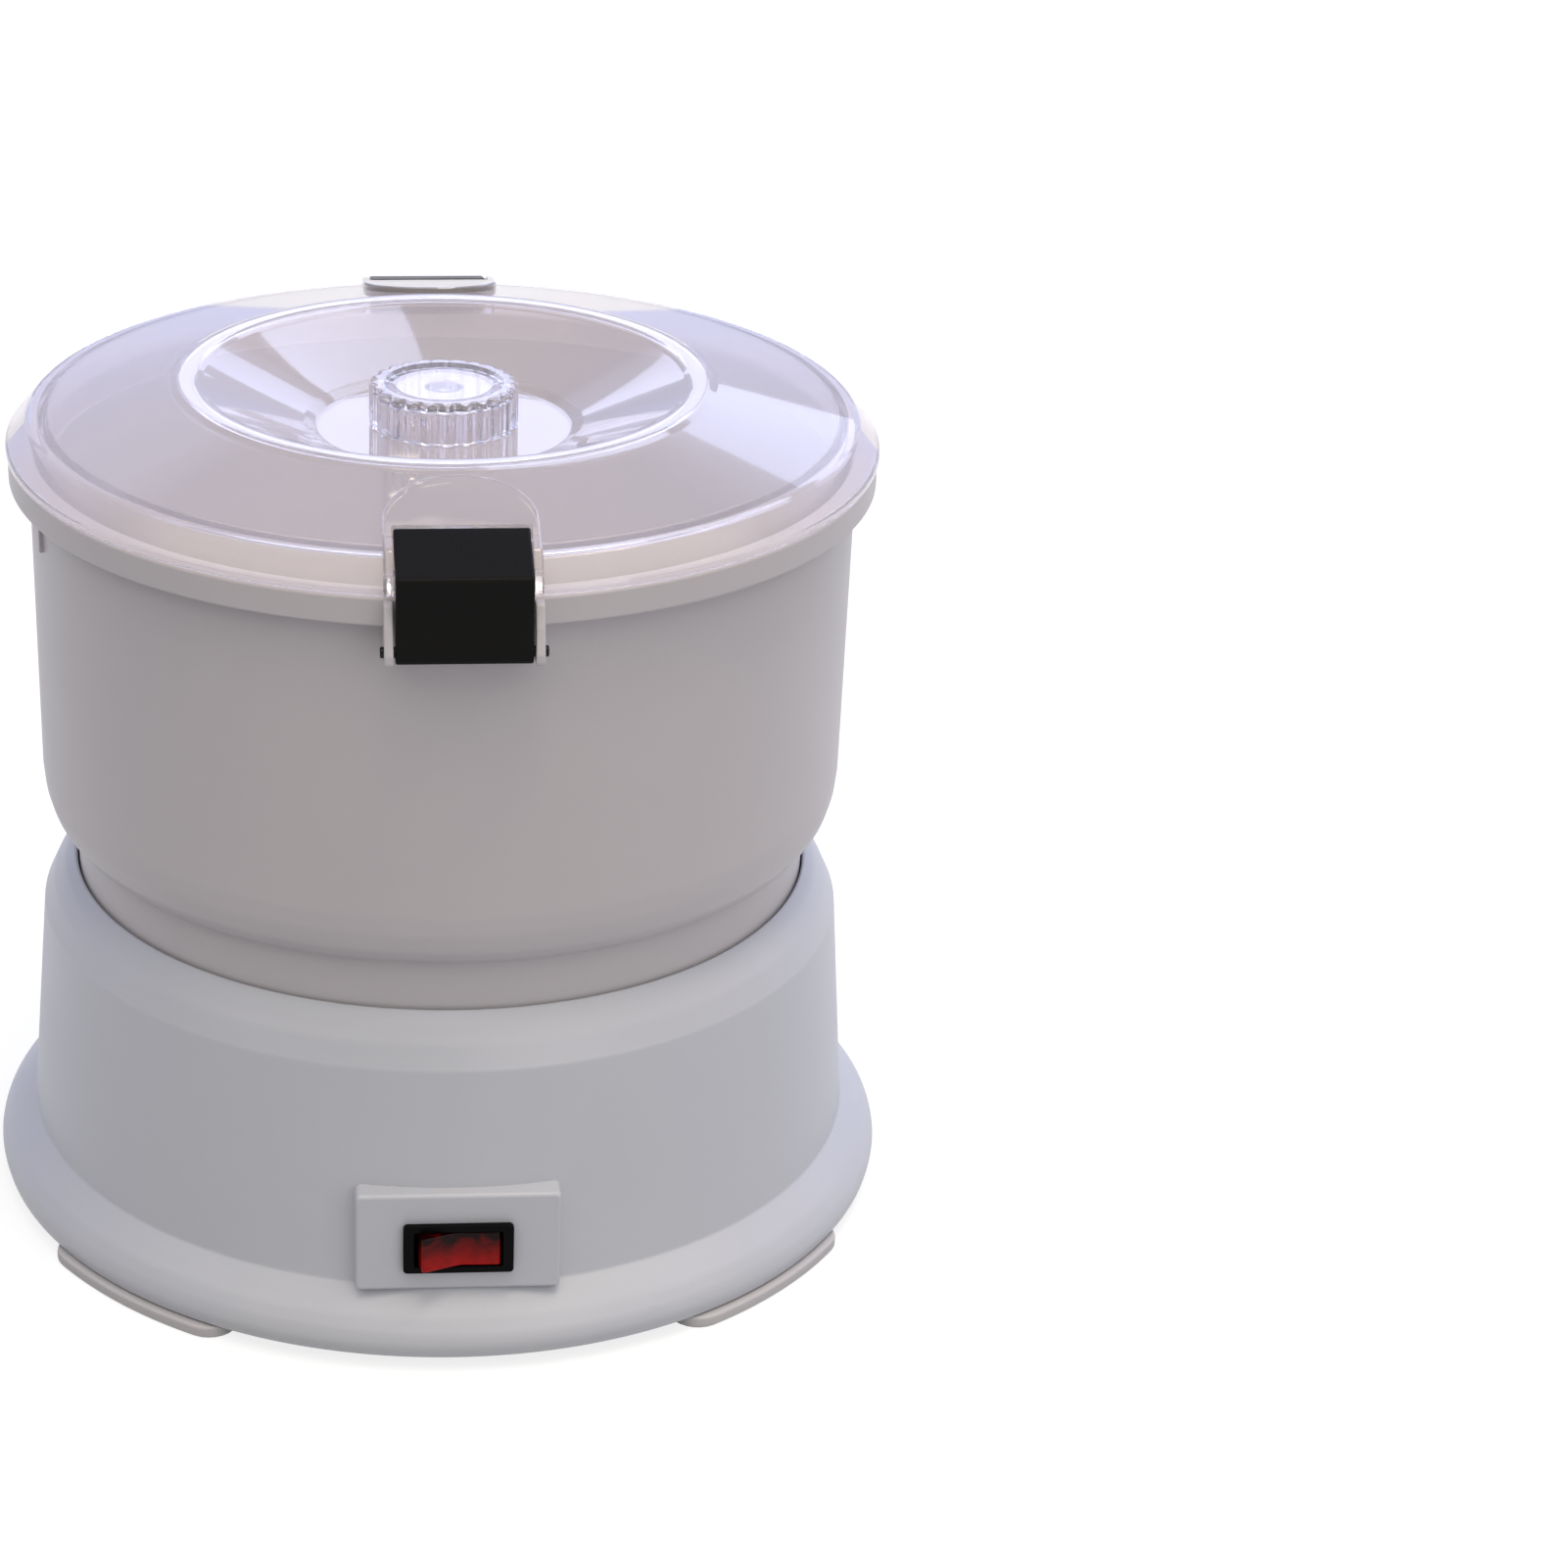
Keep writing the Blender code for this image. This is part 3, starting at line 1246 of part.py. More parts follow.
def wall_blades():
    """Upright toothed blades on flats of the bowl's wall."""
    pieces = []
    facet = math.tau / SHELL_STEPS
    low = DISC_Z + WALL_BLADE_RISE
    corner_z = FLOOR_LOW_Z + BOWL_CORNER_RISE
    wall_share = (low - corner_z) / (RIM_Z - WALL - corner_z)
    inside = BODY_RADIUS - BOWL_TAPER * (1 - wall_share) - WALL
    back = inside * math.cos(facet / 2) - GAP
    front = back - WALL_BLADE_THICKNESS
    for index in range(WALL_BLADE_COUNT):
        turn = index * math.tau / WALL_BLADE_COUNT + facet / 2
        name = f"wall_blade_{index + 1}"
        half = WALL_BLADE_WIDTH / 2
        blade = solid(name, box((-half, front, low), (half, back, low + WALL_BLADE_HEIGHT), turn), STEEL)
        teeth = []
        pitch = WALL_BLADE_HEIGHT / BLADE_TOOTH_COUNT
        for tooth in range(BLADE_TOOTH_COUNT):
            root = low + pitch * tooth + pitch / 4
            outline = [
                (front + WALL_BLADE_THICKNESS / 2, root),
                (front - BLADE_TOOTH_HEIGHT, root + pitch / 4),
                (front + WALL_BLADE_THICKNESS / 2, root + pitch / 2),
            ]
            teeth.append(slab(outline, -BLADE_TOOTH_LENGTH / 2, BLADE_TOOTH_LENGTH / 2, across(turn)))
        join(blade, name + "_teeth", group(teeth))
        pieces.append(blade)
    return pieces


def turntable():
    """Ridged disc with its hub, and the grating blades on it."""
    skirt = HUB_BORE + HUB_WALL
    outline = [
        (0.0, HUB_Z),
        (HUB_TOP_RADIUS - HUB_CHAMFER, HUB_Z),
        (HUB_TOP_RADIUS, HUB_Z - HUB_CHAMFER),
        (skirt, HUB_ROOF_Z),
        (skirt + HUB_FOOT, DISC_Z),
        (DISC_RADIUS, DISC_Z),
        (DISC_RADIUS, DISC_LOW_Z),
        (HUB_BORE, DISC_LOW_Z),
        (HUB_BORE, HUB_ROOF_Z),
        (0.0, HUB_ROOF_Z),
    ]
    disc = turned("turntable", outline, GREY_PLASTIC, SHELL_STEPS)
    ridges = []
    blades = []
    root = DISC_Z - DISC_THICKNESS / 2
    for index in range(RIDGE_COUNT):
        turn = index * math.tau / RIDGE_COUNT
        hump = [(RIDGE_HALF_WIDTH * side, DISC_Z + RIDGE_HEIGHT * up) for side, up in RIDGE_SHARES]
        hump += [(RIDGE_HALF_WIDTH, root), (-RIDGE_HALF_WIDTH, root)]
        ridges.append(slab(hump, RIDGE_START, DISC_RADIUS - RIDGE_END_INSET, across(turn)))
        low = DISC_Z + GAP
        blades.append(solid(f"disc_blade_{index + 1}", box(
            (-GRATER_WIDTH / 2, GRATER_START, low),
            (GRATER_WIDTH / 2, GRATER_START + GRATER_LENGTH, low + GRATER_THICKNESS),
            turn + math.pi / RIDGE_COUNT,
        ), STEEL))
    join(disc, "disc_ridges", group(ridges))
    cut(disc, "hex_socket", rod(
        HEAD_RADIUS + SOCKET_CLEARANCE, (0.0, 0.0, HUB_ROOF_Z - OVERRUN), (0.0, 0.0, SOCKET_Z), HEX_SIDES
    ))
    carry(pivot("turntable_axis", (0.0, 0.0, DISC_Z)), disc, *blades)


# Latches and lid


def latch_outline():
    """Side view of a latch, as radius and height."""
    hook_low = pocket_z(HOOK_RADIUS) + HOOK_CLEARANCE
    inner = LID_RADIUS + LATCH_INNER_CLEARANCE
    elbow_z = PIVOT_Z + LATCH_INNER_RISE
    outline = [
        (HOOK_RADIUS, cone_z(HOOK_RADIUS) + BOSS_RISE + HOOK_PROUD),
        (PIVOT_RADIUS + BEND_OUT, PIVOT_Z + BEND_RISE),
        (PIVOT_RADIUS + CREASE_OUT, PIVOT_Z + CREASE_RISE),
    ]
    for index in range(BARREL_STEPS + 1):
        angle = -index * math.pi / BARREL_STEPS
        outline.append((
            PIVOT_RADIUS + BARREL_RADIUS * math.cos(angle),
            PIVOT_Z + BARREL_RADIUS * math.sin(angle),
        ))
    outline.append((inner, PIVOT_Z + BARREL_RADIUS))
    outline.append((inner, elbow_z))
    outline.append((inner - LATCH_ELBOW_RUN, elbow_z + LATCH_ELBOW_RISE))
    outline.append((HOOK_RADIUS, hook_low))
    return outline


def latches():
    """Both latches and their pins."""
    for side, turn in SIDES.items():
        name = side + "_latch"
        spin = Matrix.Rotation(turn, 4, "Z")
        shape = slab(latch_outline(), -LATCH_HALF_WIDTH, LATCH_HALF_WIDTH, across(turn))
        latch = solid(name, shape, BLACK_LATCH)
        end = LATCH_HALF_WIDTH + OVERRUN
        left = spin @ Vector((-end, PIVOT_RADIUS, PIVOT_Z))
        right = spin @ Vector((end, PIVOT_RADIUS, PIVOT_Z))
        cut(latch, name + "_bore", rod(PIN_RADIUS + GAP, left, right))
        carry(pivot(name + "_axis", spin @ Vector((0.0, PIVOT_RADIUS, PIVOT_Z))), latch)
        pin_end = EAR_END + PIN_PROUD
        solid(name + "_pin", rod(
            PIN_RADIUS,
            spin @ Vector((-pin_end, PIVOT_RADIUS, PIVOT_Z)),
            spin @ Vector((pin_end, PIVOT_RADIUS, PIVOT_Z)),
        ), STEEL)


def pocket_z(radius):
    """Height of the sloping floor that a latch's hook lies over."""
    inner_z = cone_z(POCKET_RADIUS) - POCKET_DEPTH
    outer_z = LID_LOW_Z + POCKET_LIP
    share = (radius - POCKET_RADIUS) / (LID_RADIUS - POCKET_RADIUS)
    return inner_z + (outer_z - inner_z) * share


def arch_outline():
    """Latch boss seen from above: straight sides and a round inner end."""
    top = CONE_RADIUS - BOSS_ARCH_INSET + BOSS_HALF_WIDTH + BAND_RUN
    outline = [(BOSS_HALF_WIDTH, LID_RADIUS + OVERRUN), (-BOSS_HALF_WIDTH, LID_RADIUS + OVERRUN)]
    for index in range(ARCH_STEPS + 1):
        angle = math.pi + index * math.pi / ARCH_STEPS
        outline.append((BOSS_HALF_WIDTH * math.cos(angle), top + BOSS_HALF_WIDTH * math.sin(angle)))
    return outline


def boss_outline():
    """Latch boss seen from the side, as radius and height."""
    inner = CONE_RADIUS - BOSS_ARCH_INSET
    edge = LID_RADIUS - BOSS_EDGE_INSET
    shoulder = LID_RADIUS - BOSS_SHOULDER_INSET
    low = LID_LOW_Z + BOSS_FLOOR
    return [
        (inner, cone_z(inner) - LID_WALL / 2),
        (inner, cone_z(inner) + BOSS_RISE),
        (shoulder, cone_z(shoulder) + BOSS_RISE),
        (edge, LID_EDGE_Z + BOSS_RISE),
        (edge, low),
        (edge - BOSS_DEPTH, low),
        (POCKET_RADIUS, cone_z(POCKET_RADIUS) - LID_WALL * 2),
    ]


def lid():
    """Clear lid with its inner skirt and the two latch bosses."""
    outline = [
        (0.0, DISH_Z),
        (DISH_RADIUS, DISH_Z),
        (DISH_RADIUS + DISH_STEP_RUN, DISH_Z + DISH_STEP_RISE),
        (CREST_RADIUS - CREST_HALF_WIDTH, CREST_Z - CREST_FALL),
        (CREST_RADIUS, CREST_Z),
        (CREST_RADIUS + CREST_HALF_WIDTH, CONE_Z),
        (CONE_RADIUS, CONE_LOW_Z),
        (LID_RADIUS, LID_EDGE_Z),
        (LID_RADIUS, LID_LOW_Z),
    ]
    piece = shell("lid", outline, CLEAR_PLASTIC, LID_WALL)
    outer = BODY_RADIUS - LID_SKIRT_INSET
    skirt_ring = turned(
        "lid_skirt",
        ring(outer, outer - LID_SKIRT_WALL, RIM_Z - LID_SKIRT_DEPTH, cone_z(outer) - LID_WALL / 2),
        None, SHELL_STEPS, closed=True, home=CUTTERS,
    )
    combine(piece, as_cutter(skirt_ring), "UNION")
    pockets = []
    for side, turn in SIDES.items():
        boss = helper(
            side + "_boss", slab(boss_outline(), -BOSS_HALF_WIDTH, BOSS_HALF_WIDTH, across(turn))
        )
        spin = Matrix.Rotation(turn, 4, "Z")
        arch = helper(side + "_arch", slab(arch_outline(), LID_LOW_Z - OVERRUN, CREST_Z + OVERRUN, spin))
        combine(boss, arch, "INTERSECT")
        combine(piece, boss, "UNION")
        past = LID_RADIUS + OVERRUN
        above = CREST_Z + OVERRUN
        floor = [
            (POCKET_RADIUS, pocket_z(POCKET_RADIUS)),
            (past, pocket_z(past)),
            (past, above),
            (POCKET_RADIUS, above),
        ]
        half = LATCH_HALF_WIDTH + POCKET_CLEARANCE
        pockets.append(slab(floor, -half, half, across(turn)))
    cut(piece, "latch_pockets", group(pockets))
    cut(piece, "knob_screw_hole", rod(
        SCREW_RADIUS + GAP, (0.0, 0.0, DISH_Z - LID_WALL - OVERRUN), (0.0, 0.0, DISH_Z + OVERRUN)
    ))
    turned("knob_screw", screw_outline(SHORT_SCREW_LENGTH, DISH_Z - LID_WALL - GAP), STEEL, SCREW_SIDES)


def knob():
    """Clear scalloped knob, hollow underneath, with a post for its screw."""
    low = DISH_Z + GAP
    top = low + KNOB_HEIGHT
    count = KNOB_SCALLOPS * KNOB_SCALLOP_STEPS
    outline = []
    for index in range(count):
        angle = index * math.tau / count
        radius = KNOB_RADIUS + KNOB_SCALLOP_DEPTH * math.cos(angle * KNOB_SCALLOPS)
        outline.append((radius * math.cos(angle), radius * math.sin(angle)))
    piece = solid("lid_knob", slab(outline, low, top), CLEAR_PLASTIC)
    hollow = turned(
        "knob_hollow",
        ring(KNOB_RADIUS - KNOB_WALL, KNOB_POST_RADIUS, low - OVERRUN, top - KNOB_WALL),
        None, SMALL_STEPS, closed=True, home=CUTTERS,
    )
    combine(piece, as_cutter(hollow), "DIFFERENCE")
    bore_end = DISH_Z - LID_WALL + SHORT_SCREW_LENGTH + SCREW_SPARE
    cut(piece, "knob_bore", rod(
        SCREW_RADIUS + GAP, (0.0, 0.0, low - OVERRUN), (0.0, 0.0, bore_end)
    ))


def shade_round_pieces():
    """Shade every mesh smooth, with its sharp edges kept."""
    for piece in PARTS.objects:
        if piece.type == "MESH":
            piece.data.shade_smooth()


base_housing()
bottom_plate()
feet()
switch()
bearing_sleeve()
drive_shaft()
drive_belt()
motor()
cord_inlet()
wiring()
bowl()
wall_blades()
turntable()
latches()
lid()
knob()
shade_round_pieces()
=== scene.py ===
"""Visual model of an electric potato peeler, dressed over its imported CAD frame.

All lengths are in metres. The origin is on the table under the middle of the base, +Z is
up, and the switch and the front latch face -Y. A section that is turned is a list of radius
and height, the radius from the upright middle axis and the height from the table.
"""

import json
import logging
import math
from collections.abc import Callable, Mapping, Sequence
from dataclasses import dataclass
from enum import Enum, IntEnum
from functools import partial

import bmesh
import bpy
from mathutils import Matrix, Vector

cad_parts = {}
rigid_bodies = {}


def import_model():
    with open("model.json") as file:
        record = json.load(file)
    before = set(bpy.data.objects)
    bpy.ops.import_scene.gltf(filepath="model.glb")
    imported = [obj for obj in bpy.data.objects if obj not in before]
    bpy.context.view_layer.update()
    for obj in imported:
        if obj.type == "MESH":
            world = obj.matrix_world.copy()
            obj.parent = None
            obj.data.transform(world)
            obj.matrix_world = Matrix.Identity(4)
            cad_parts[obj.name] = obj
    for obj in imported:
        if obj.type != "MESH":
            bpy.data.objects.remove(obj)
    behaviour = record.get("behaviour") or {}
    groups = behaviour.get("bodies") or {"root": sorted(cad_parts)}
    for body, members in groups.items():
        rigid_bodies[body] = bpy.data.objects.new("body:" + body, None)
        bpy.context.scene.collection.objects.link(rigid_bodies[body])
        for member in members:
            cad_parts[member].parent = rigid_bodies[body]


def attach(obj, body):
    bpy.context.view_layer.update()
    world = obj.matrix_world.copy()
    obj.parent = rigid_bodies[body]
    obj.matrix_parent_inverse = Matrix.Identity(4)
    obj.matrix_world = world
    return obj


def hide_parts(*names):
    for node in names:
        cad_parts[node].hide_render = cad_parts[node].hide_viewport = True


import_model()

Point = tuple[float, float]
Triple = tuple[float, float, float]
Corner = tuple[float, ...]
Piece = bpy.types.Object
Node = bpy.types.Node
Socket = bpy.types.NodeSocket
Value = float | int | str | tuple[float, ...] | Socket | Node | Piece | bpy.types.Material
Adder = Callable[..., Node]

LOG = logging.getLogger("peeler")

# Where the two axes of an outline and its thickness point.
UPRIGHT = Matrix.Identity(4)
TO_FRONT = Matrix(((1, 0, 0, 0), (0, 0, -1, 0), (0, 1, 0, 0), (0, 0, 0, 1)))
TO_REAR = Matrix(((1, 0, 0, 0), (0, 0, 1, 0), (0, 1, 0, 0), (0, 0, 0, 1)))
SIDEWAYS = Matrix(((0, 0, 1, 0), (1, 0, 0, 0), (0, 1, 0, 0), (0, 0, 0, 1)))

# Arcs have a point at least this often, and corners that turn less than the least stay sharp.
ARC_STEP = math.radians(11)
LEAST_TURN = math.radians(1)
# Share of its shorter side that an arc may take up.
ARC_SHARE = 0.48
# Keeps a sharp corner from running away when an outline is shrunk.
LEAST_BEND = 0.4
# A straight gets points of support when it is this many times as long as their reach.
LONG_RUN = 6
EDGE_STEPS = 3
SHARP = math.radians(34)
MERGE = 1e-6
# How far a cutter stands out of what it cuts.
OVERRUN = 0.001

# Places that two sub-assemblies share.
DIAGONAL = math.radians(45)
SWITCH_Z = 0.0358
INLET_Z = 0.0335
LATCH_PIVOT = (0.1290, 0.2173)
PIN_BORE = 0.0018
# Higher than everything else.
CLEAR_Z = 0.2520


class Body(Enum):
    """The CAD bodies that pieces ride on."""

    BASE = "base"
    ROCKER = "rocker"
    DRIVE_SHAFT = "drive_shaft"
    BOWL = "bowl"
    TURNTABLE = "turntable"
    LID = "lid"
    FRONT_LATCH = "front_latch"
    REAR_LATCH = "rear_latch"


class Slot(Enum):
    """The record's material slots, one named for each piece."""

    GREY_PLASTIC = "grey_plastic"
    DARK_PLASTIC = "dark_plastic"
    BLACK_LATCH = "black_latch"
    CLEAR_PLASTIC = "clear_plastic"
    RED_LENS = "red_lens"
    WHITE_NYLON = "white_nylon"
    STEEL = "steel"
    BLACK_RUBBER = "black_rubber"
    GREY_RUBBER = "grey_rubber"


class Sides(IntEnum):
    """How many flat sides a turned shape has, from the widest to the narrowest."""

    SHELL = 240
    DISC = 192
    TUBE = 96
    SEAL = 72
    RING = 64
    POST = 48
    ROD = 32
    SCREW = 24


class Join(Enum):
    """What a boolean does with its second shape."""

    ADD = "UNION"
    CUT = "DIFFERENCE"
    KEEP = "INTERSECT"


class Side(Enum):
    """The two sides that have a latch, with the angle that takes +Y there."""

    FRONT = math.pi
    REAR = 0.0

    @property
    def turn(self) -> Matrix:
        """The turn that takes +Y to this side."""
        return Matrix.Rotation(self.value, 4, "Z")

    @property
    def latch(self) -> str:
        """Name of the latch's node."""
        return f"{self.name.lower()}_latch"

    @property
    def pin(self) -> str:
        """Name of the latch pin's node."""
        return f"{self.latch}_pin"


# Outlines


def polar(radius: float, angle: float) -> Point:
    """The point at a distance from the middle and an angle from the first axis."""
    return (radius * math.cos(angle), radius * math.sin(angle))


def rectangle(low: Point, high: Point, radius: float) -> list[Corner]:
    """The corners of a rectangle, drawn anticlockwise, each with the same radius."""
    return [(x, y, radius) for x, y in (low, (high[0], low[1]), high, (low[0], high[1]))]


def hexagon(radius: float, corner: float) -> list[Corner]:
    """The corners of a hexagon, the first on the first axis, each with the same radius."""
    return [(*polar(radius, math.tau * index / 6), corner) for index in range(6)]


def rounded(corners: Sequence[Corner]) -> list[Point]:
    """Turns corners into a closed line of points, with an arc where a corner has a radius.

    Args:
        corners: Two distances for each corner, and a radius where it isn't sharp.

    Returns:
        The points in the same order.
    """
    points: list[Point] = []
    for index, (a, b, *rest) in enumerate(corners):
        radius = rest[0] if rest else 0.0
        here = Vector((a, b))
        before = here - Vector(corners[index - 1][:2])
        after = Vector(corners[(index + 1) % len(corners)][:2]) - here
        room = ARC_SHARE * min(before.length, after.length)
        before.normalize()
        after.normalize()
        turn = math.acos(max(-1.0, min(1.0, before.dot(after))))
        if radius <= 0.0 or room < MERGE or turn < LEAST_TURN:
            points.append((a, b))
            continue
        reach = min(room, radius * math.tan(turn / 2))
        true_radius = reach / math.tan(turn / 2)
        hub = here + (after - before).normalized() * (true_radius / math.cos(turn / 2))
        spoke = here - before * reach - hub
        swing = math.copysign(turn, before.x * after.y - before.y * after.x)
        steps = max(2, math.ceil(turn / ARC_STEP))
        for step in range(steps + 1):
            points.append(tuple(hub + Matrix.Rotation(swing * step / steps, 2) @ spoke))
    return points


def moved_right(corners: Sequence[Triple], distance: float) -> list[Triple]:
    """Moves an open line of corners to the right of its direction of travel.

    Args:
        corners: The open line.
        distance: How far it moves.

    Returns:
        The moved corners, with the same radii.
    """
    sides = []
    for one, two in zip(corners, corners[1:]):
        way = Vector((two[0] - one[0], two[1] - one[1])).normalized()
        sides.append(Vector((way.y, -way.x)))
    moved: list[Triple] = []
    for (a, b, radius), one, two in zip(corners, (sides[0], *sides), (*sides, sides[-1])):
        shift = (one + two) * (distance / (1.0 + one.dot(two)))
        moved.append((a + shift.x, b + shift.y, radius))
    return moved


def supported(points: Sequence[Point], reach: float) -> list[Point]:
    """Adds a point near both ends of each long straight, so that it shades flat.

    Args:
        points: A closed line of points.
        reach: Distance of the added points from the ends.

    Returns:
        The closed line with the added points.
    """
    result: list[Point] = []
    for index, point in enumerate(points):
        here, ahead = Vector(point), Vector(points[(index + 1) % len(points)])
        result.append(point)
        if (ahead - here).length > LONG_RUN * reach:
            step = (ahead - here).normalized() * reach
            result += [tuple(here + step), tuple(ahead - step)]
    return result


def shrunk(outline: Sequence[Point], distance: float) -> list[Point]:
    """Moves a closed outline, drawn anticlockwise, inwards.

    Args:
        outline: Its points.
        distance: How far they move, which is a small distance.

    Returns:
        The moved points.
    """
    result: list[Point] = []
    for index, point in enumerate(outline):
        here = Vector(point)
        before = (here - Vector(outline[index - 1])).normalized()
        after = (Vector(outline[(index + 1) % len(outline)]) - here).normalized()
        one, two = Vector((-before.y, before.x)), Vector((-after.y, after.x))
        result.append(tuple(here + (one + two) * (distance / max(LEAST_BEND, 1.0 + one.dot(two)))))
    return result


# Meshes


def closed_mesh(
    name: str, points: Sequence[Triple], faces: Sequence[Sequence[int]], place: Matrix
) -> Piece:
    """Makes a closed piece whose faces point outwards.

    Args:
        name: Name of the piece.
        points: Its points before they are placed.
        faces: Its faces, as numbers of points.
        place: Where the points go. The object itself stays at the origin.

    Returns:
        The new object.
    """
    mesh = bpy.data.meshes.new(name)
    mesh.from_pydata([place @ Vector(point) for point in points], [], faces)
    work = bmesh.new()
    work.from_mesh(mesh)
    bmesh.ops.remove_doubles(work, verts=work.verts, dist=MERGE)
    loose = [vert for vert in work.verts if not vert.link_faces]
    bmesh.ops.delete(work, geom=loose, context="VERTS")
    bmesh.ops.recalc_face_normals(work, faces=work.faces)
    work.to_mesh(mesh)
    work.free()
    piece = bpy.data.objects.new(name, mesh)
    bpy.context.scene.collection.objects.link(piece)
    return piece


def turned(
    name: str, section: Sequence[Corner], segments: int, place: Matrix = UPRIGHT, support: float = 0.0004
) -> Piece:
    """Turns a closed section round its second axis.

    Args:
        name: Name of the piece.
        section: Its corners, as radius and height. A radius of zero makes a pole.
        segments: Number of flat sides.
        place: Where the turned shape goes.
        support: Reach of the points that make straights shade flat, or zero for none.

    Returns:
        The new object.
    """
    loop = rounded(section)
    if support:
        loop = supported(loop, support)
    points: list[Triple] = []
    rings: list[list[int]] = []
    for radius, height in loop:
        count = 1 if radius < MERGE else segments
        rings.append([len(points) + step % count for step in range(segments)])
        points += [(*polar(radius, math.tau * step / segments), height) for step in range(count)]
    faces: list[list[int]] = []
    for low, high in zip(rings, (*rings[1:], rings[0])):
        if low[0] == low[1] and high[0] == high[1]:
            continue
        for step in range(segments):
            ahead = (step + 1) % segments
            faces.append(list(dict.fromkeys((low[step], low[ahead], high[ahead], high[step]))))
    return closed_mesh(name, points, faces, place)


def prism(
    name: str, outline: Sequence[Corner], low: float, high: float, edge: float = 0.0,
    place: Matrix = UPRIGHT,
) -> Piece:
    """Gives an outline a thickness, with round edges at both ends.

    Args:
        name: Name of the piece.
        outline: The corners of the closed outline.
        low: Start of the thickness along the third axis.
        high: End of the thickness.
        edge: Radius of the end edges.
        place: Where the shape goes.

    Returns:
        The new object.
    """
    loop = rounded(outline)
    area = sum(one[0] * two[1] - two[0] * one[1] for one, two in zip(loop, (*loop[1:], loop[0])))
    if area < 0:
        loop.reverse()
    levels = [(0.0, low), (0.0, high)]
    if edge > 0:
        turns = [math.pi / 2 * step / EDGE_STEPS for step in range(EDGE_STEPS + 1)]
        start = [(edge * (1 - math.sin(turn)), low + edge * (1 - math.cos(turn))) for turn in turns]
        levels = start + [(inset, low + high - level) for inset, level in reversed(start)]
    points = [
        (a, b, level) for inset, level in levels for a, b in (shrunk(loop, inset) if inset else loop)
    ]
    count = len(loop)
    top = (len(levels) - 1) * count
    faces = [list(range(count - 1, -1, -1))]
    for base in range(0, top, count):
        for step in range(count):
            ahead = (step + 1) % count
            faces.append([base + step, base + ahead, base + count + ahead, base + count + step])
    faces.append(list(range(top, top + count)))
    return closed_mesh(name, points, faces, place)


def front_box(
    name: str, half: Point, middle: float, corner: float, ends: Point, edge: float = 0.0
) -> Piece:
    """Makes a box that faces the front.

    Args:
        name: Name of the piece.
        half: Half its width and half its height.
        middle: Height of its middle.
        corner: Radius of its corners, seen from the front.
        ends: How far its back and its front are from the upright middle plane.
        edge: Radius of the edges round its back and its front.

    Returns:
        The new object.
    """
    wide, tall = half
    face = rectangle((-wide, middle - tall), (wide, middle + tall), corner)
    return prism(name, face, *ends, edge, TO_FRONT)


def cylinder(
    name: str, radius: float, ends: Point, spot: Point = (0.0, 0.0), place: Matrix = UPRIGHT,
    segments: int = Sides.POST,
) -> Piece:
    """Makes a plain round cutter or post along the third axis.

    Args:
        name: Name of the piece.
        radius: Its radius.
        ends: Its start and end along the third axis.
        spot: Where its axis passes in the first two.
        place: Where the shape goes.
        segments: Number of flat sides.

    Returns:
        The new object.
    """
    low, high = ends
    section = ((0.0, low), (radius, low), (radius, high), (0.0, high))
    return turned(name, section, segments, place @ Matrix.Translation((*spot, 0.0)), 0.0)


def bake(piece: Piece) -> Piece:
    """Makes a piece's modifiers final, so that only a plain mesh is left.

    Args:
        piece: The piece with its modifiers.

    Returns:
        The same piece.
    """
    graph = bpy.context.evaluated_depsgraph_get()
    mesh = bpy.data.meshes.new_from_object(piece.evaluated_get(graph))
    piece.modifiers.clear()
    piece.data = mesh
    mesh.name = piece.name
    return piece


def combine(piece: Piece, how: Join, *tools: Piece) -> Piece:
    """Adds shapes to a piece, cuts them out, or keeps what it shares with them.

    Args:
        piece: The piece that changes.
        how: Which of the three.
        tools: The other shapes, which are used up one after the other.

    Returns:
        The piece.
    """
    for tool in tools:
        step = piece.modifiers.new("join", "BOOLEAN")
        step.operation = how.value
        step.solver = "EXACT"
        step.object = tool
        bake(piece)
        bpy.data.objects.remove(tool)
    return piece


def soften(piece: Piece, width: float, steepest: float) -> Piece:
    """Rounds every edge that is sharper than an angle.

    Args:
        piece: The piece that changes.
        width: Size of the rounding.
        steepest: Angle past which an edge is rounded.

    Returns:
        The piece.
    """
    step = piece.modifiers.new("edges", "BEVEL")
    step.width = width
    step.segments = EDGE_STEPS
    step.limit_method = "ANGLE"
    step.angle_limit = steepest
    step.use_clamp_overlap = True
    return bake(piece)


def together(piece: Piece, *others: Piece) -> Piece:
    """Puts other closed meshes into a piece's mesh, without a boolean.

    Args:
        piece: The piece that they go into.
        others: Objects that are used up.

    Returns:
        The piece.
    """
    work = bmesh.new()
    work.from_mesh(piece.data)
    for other in others:
        work.from_mesh(other.data)
        bpy.data.objects.remove(other)
    work.to_mesh(piece.data)
    work.free()
    return piece


def shade(piece: Piece) -> None:
    """Shades a piece smooth between its sharp edges, led by its large faces.

    Args:
        piece: The piece that is shaded.
    """
    piece.data.shade_smooth()
    piece.data.set_sharp_from_angle(angle=SHARP)
    piece.modifiers.new("normals", "WEIGHTED_NORMAL").keep_sharp = True
    bake(piece)


# Nodes


def srgb(code: str) -> tuple[float, float, float, float]:
    """Turns an sRGB hex colour into the linear values that a shader takes.

    Args:
        code: The colour, such as #ffffff.

    Returns:
        Its red, green and blue, and an alpha of one.
    """
    parts = [int(code[start:start + 2], 16) / 255 for start in (1, 3, 5)]
    linear = [part / 12.92 if part <= 0.04045 else ((part + 0.055) / 1.055) ** 2.4 for part in parts]
    return (*linear, 1.0)


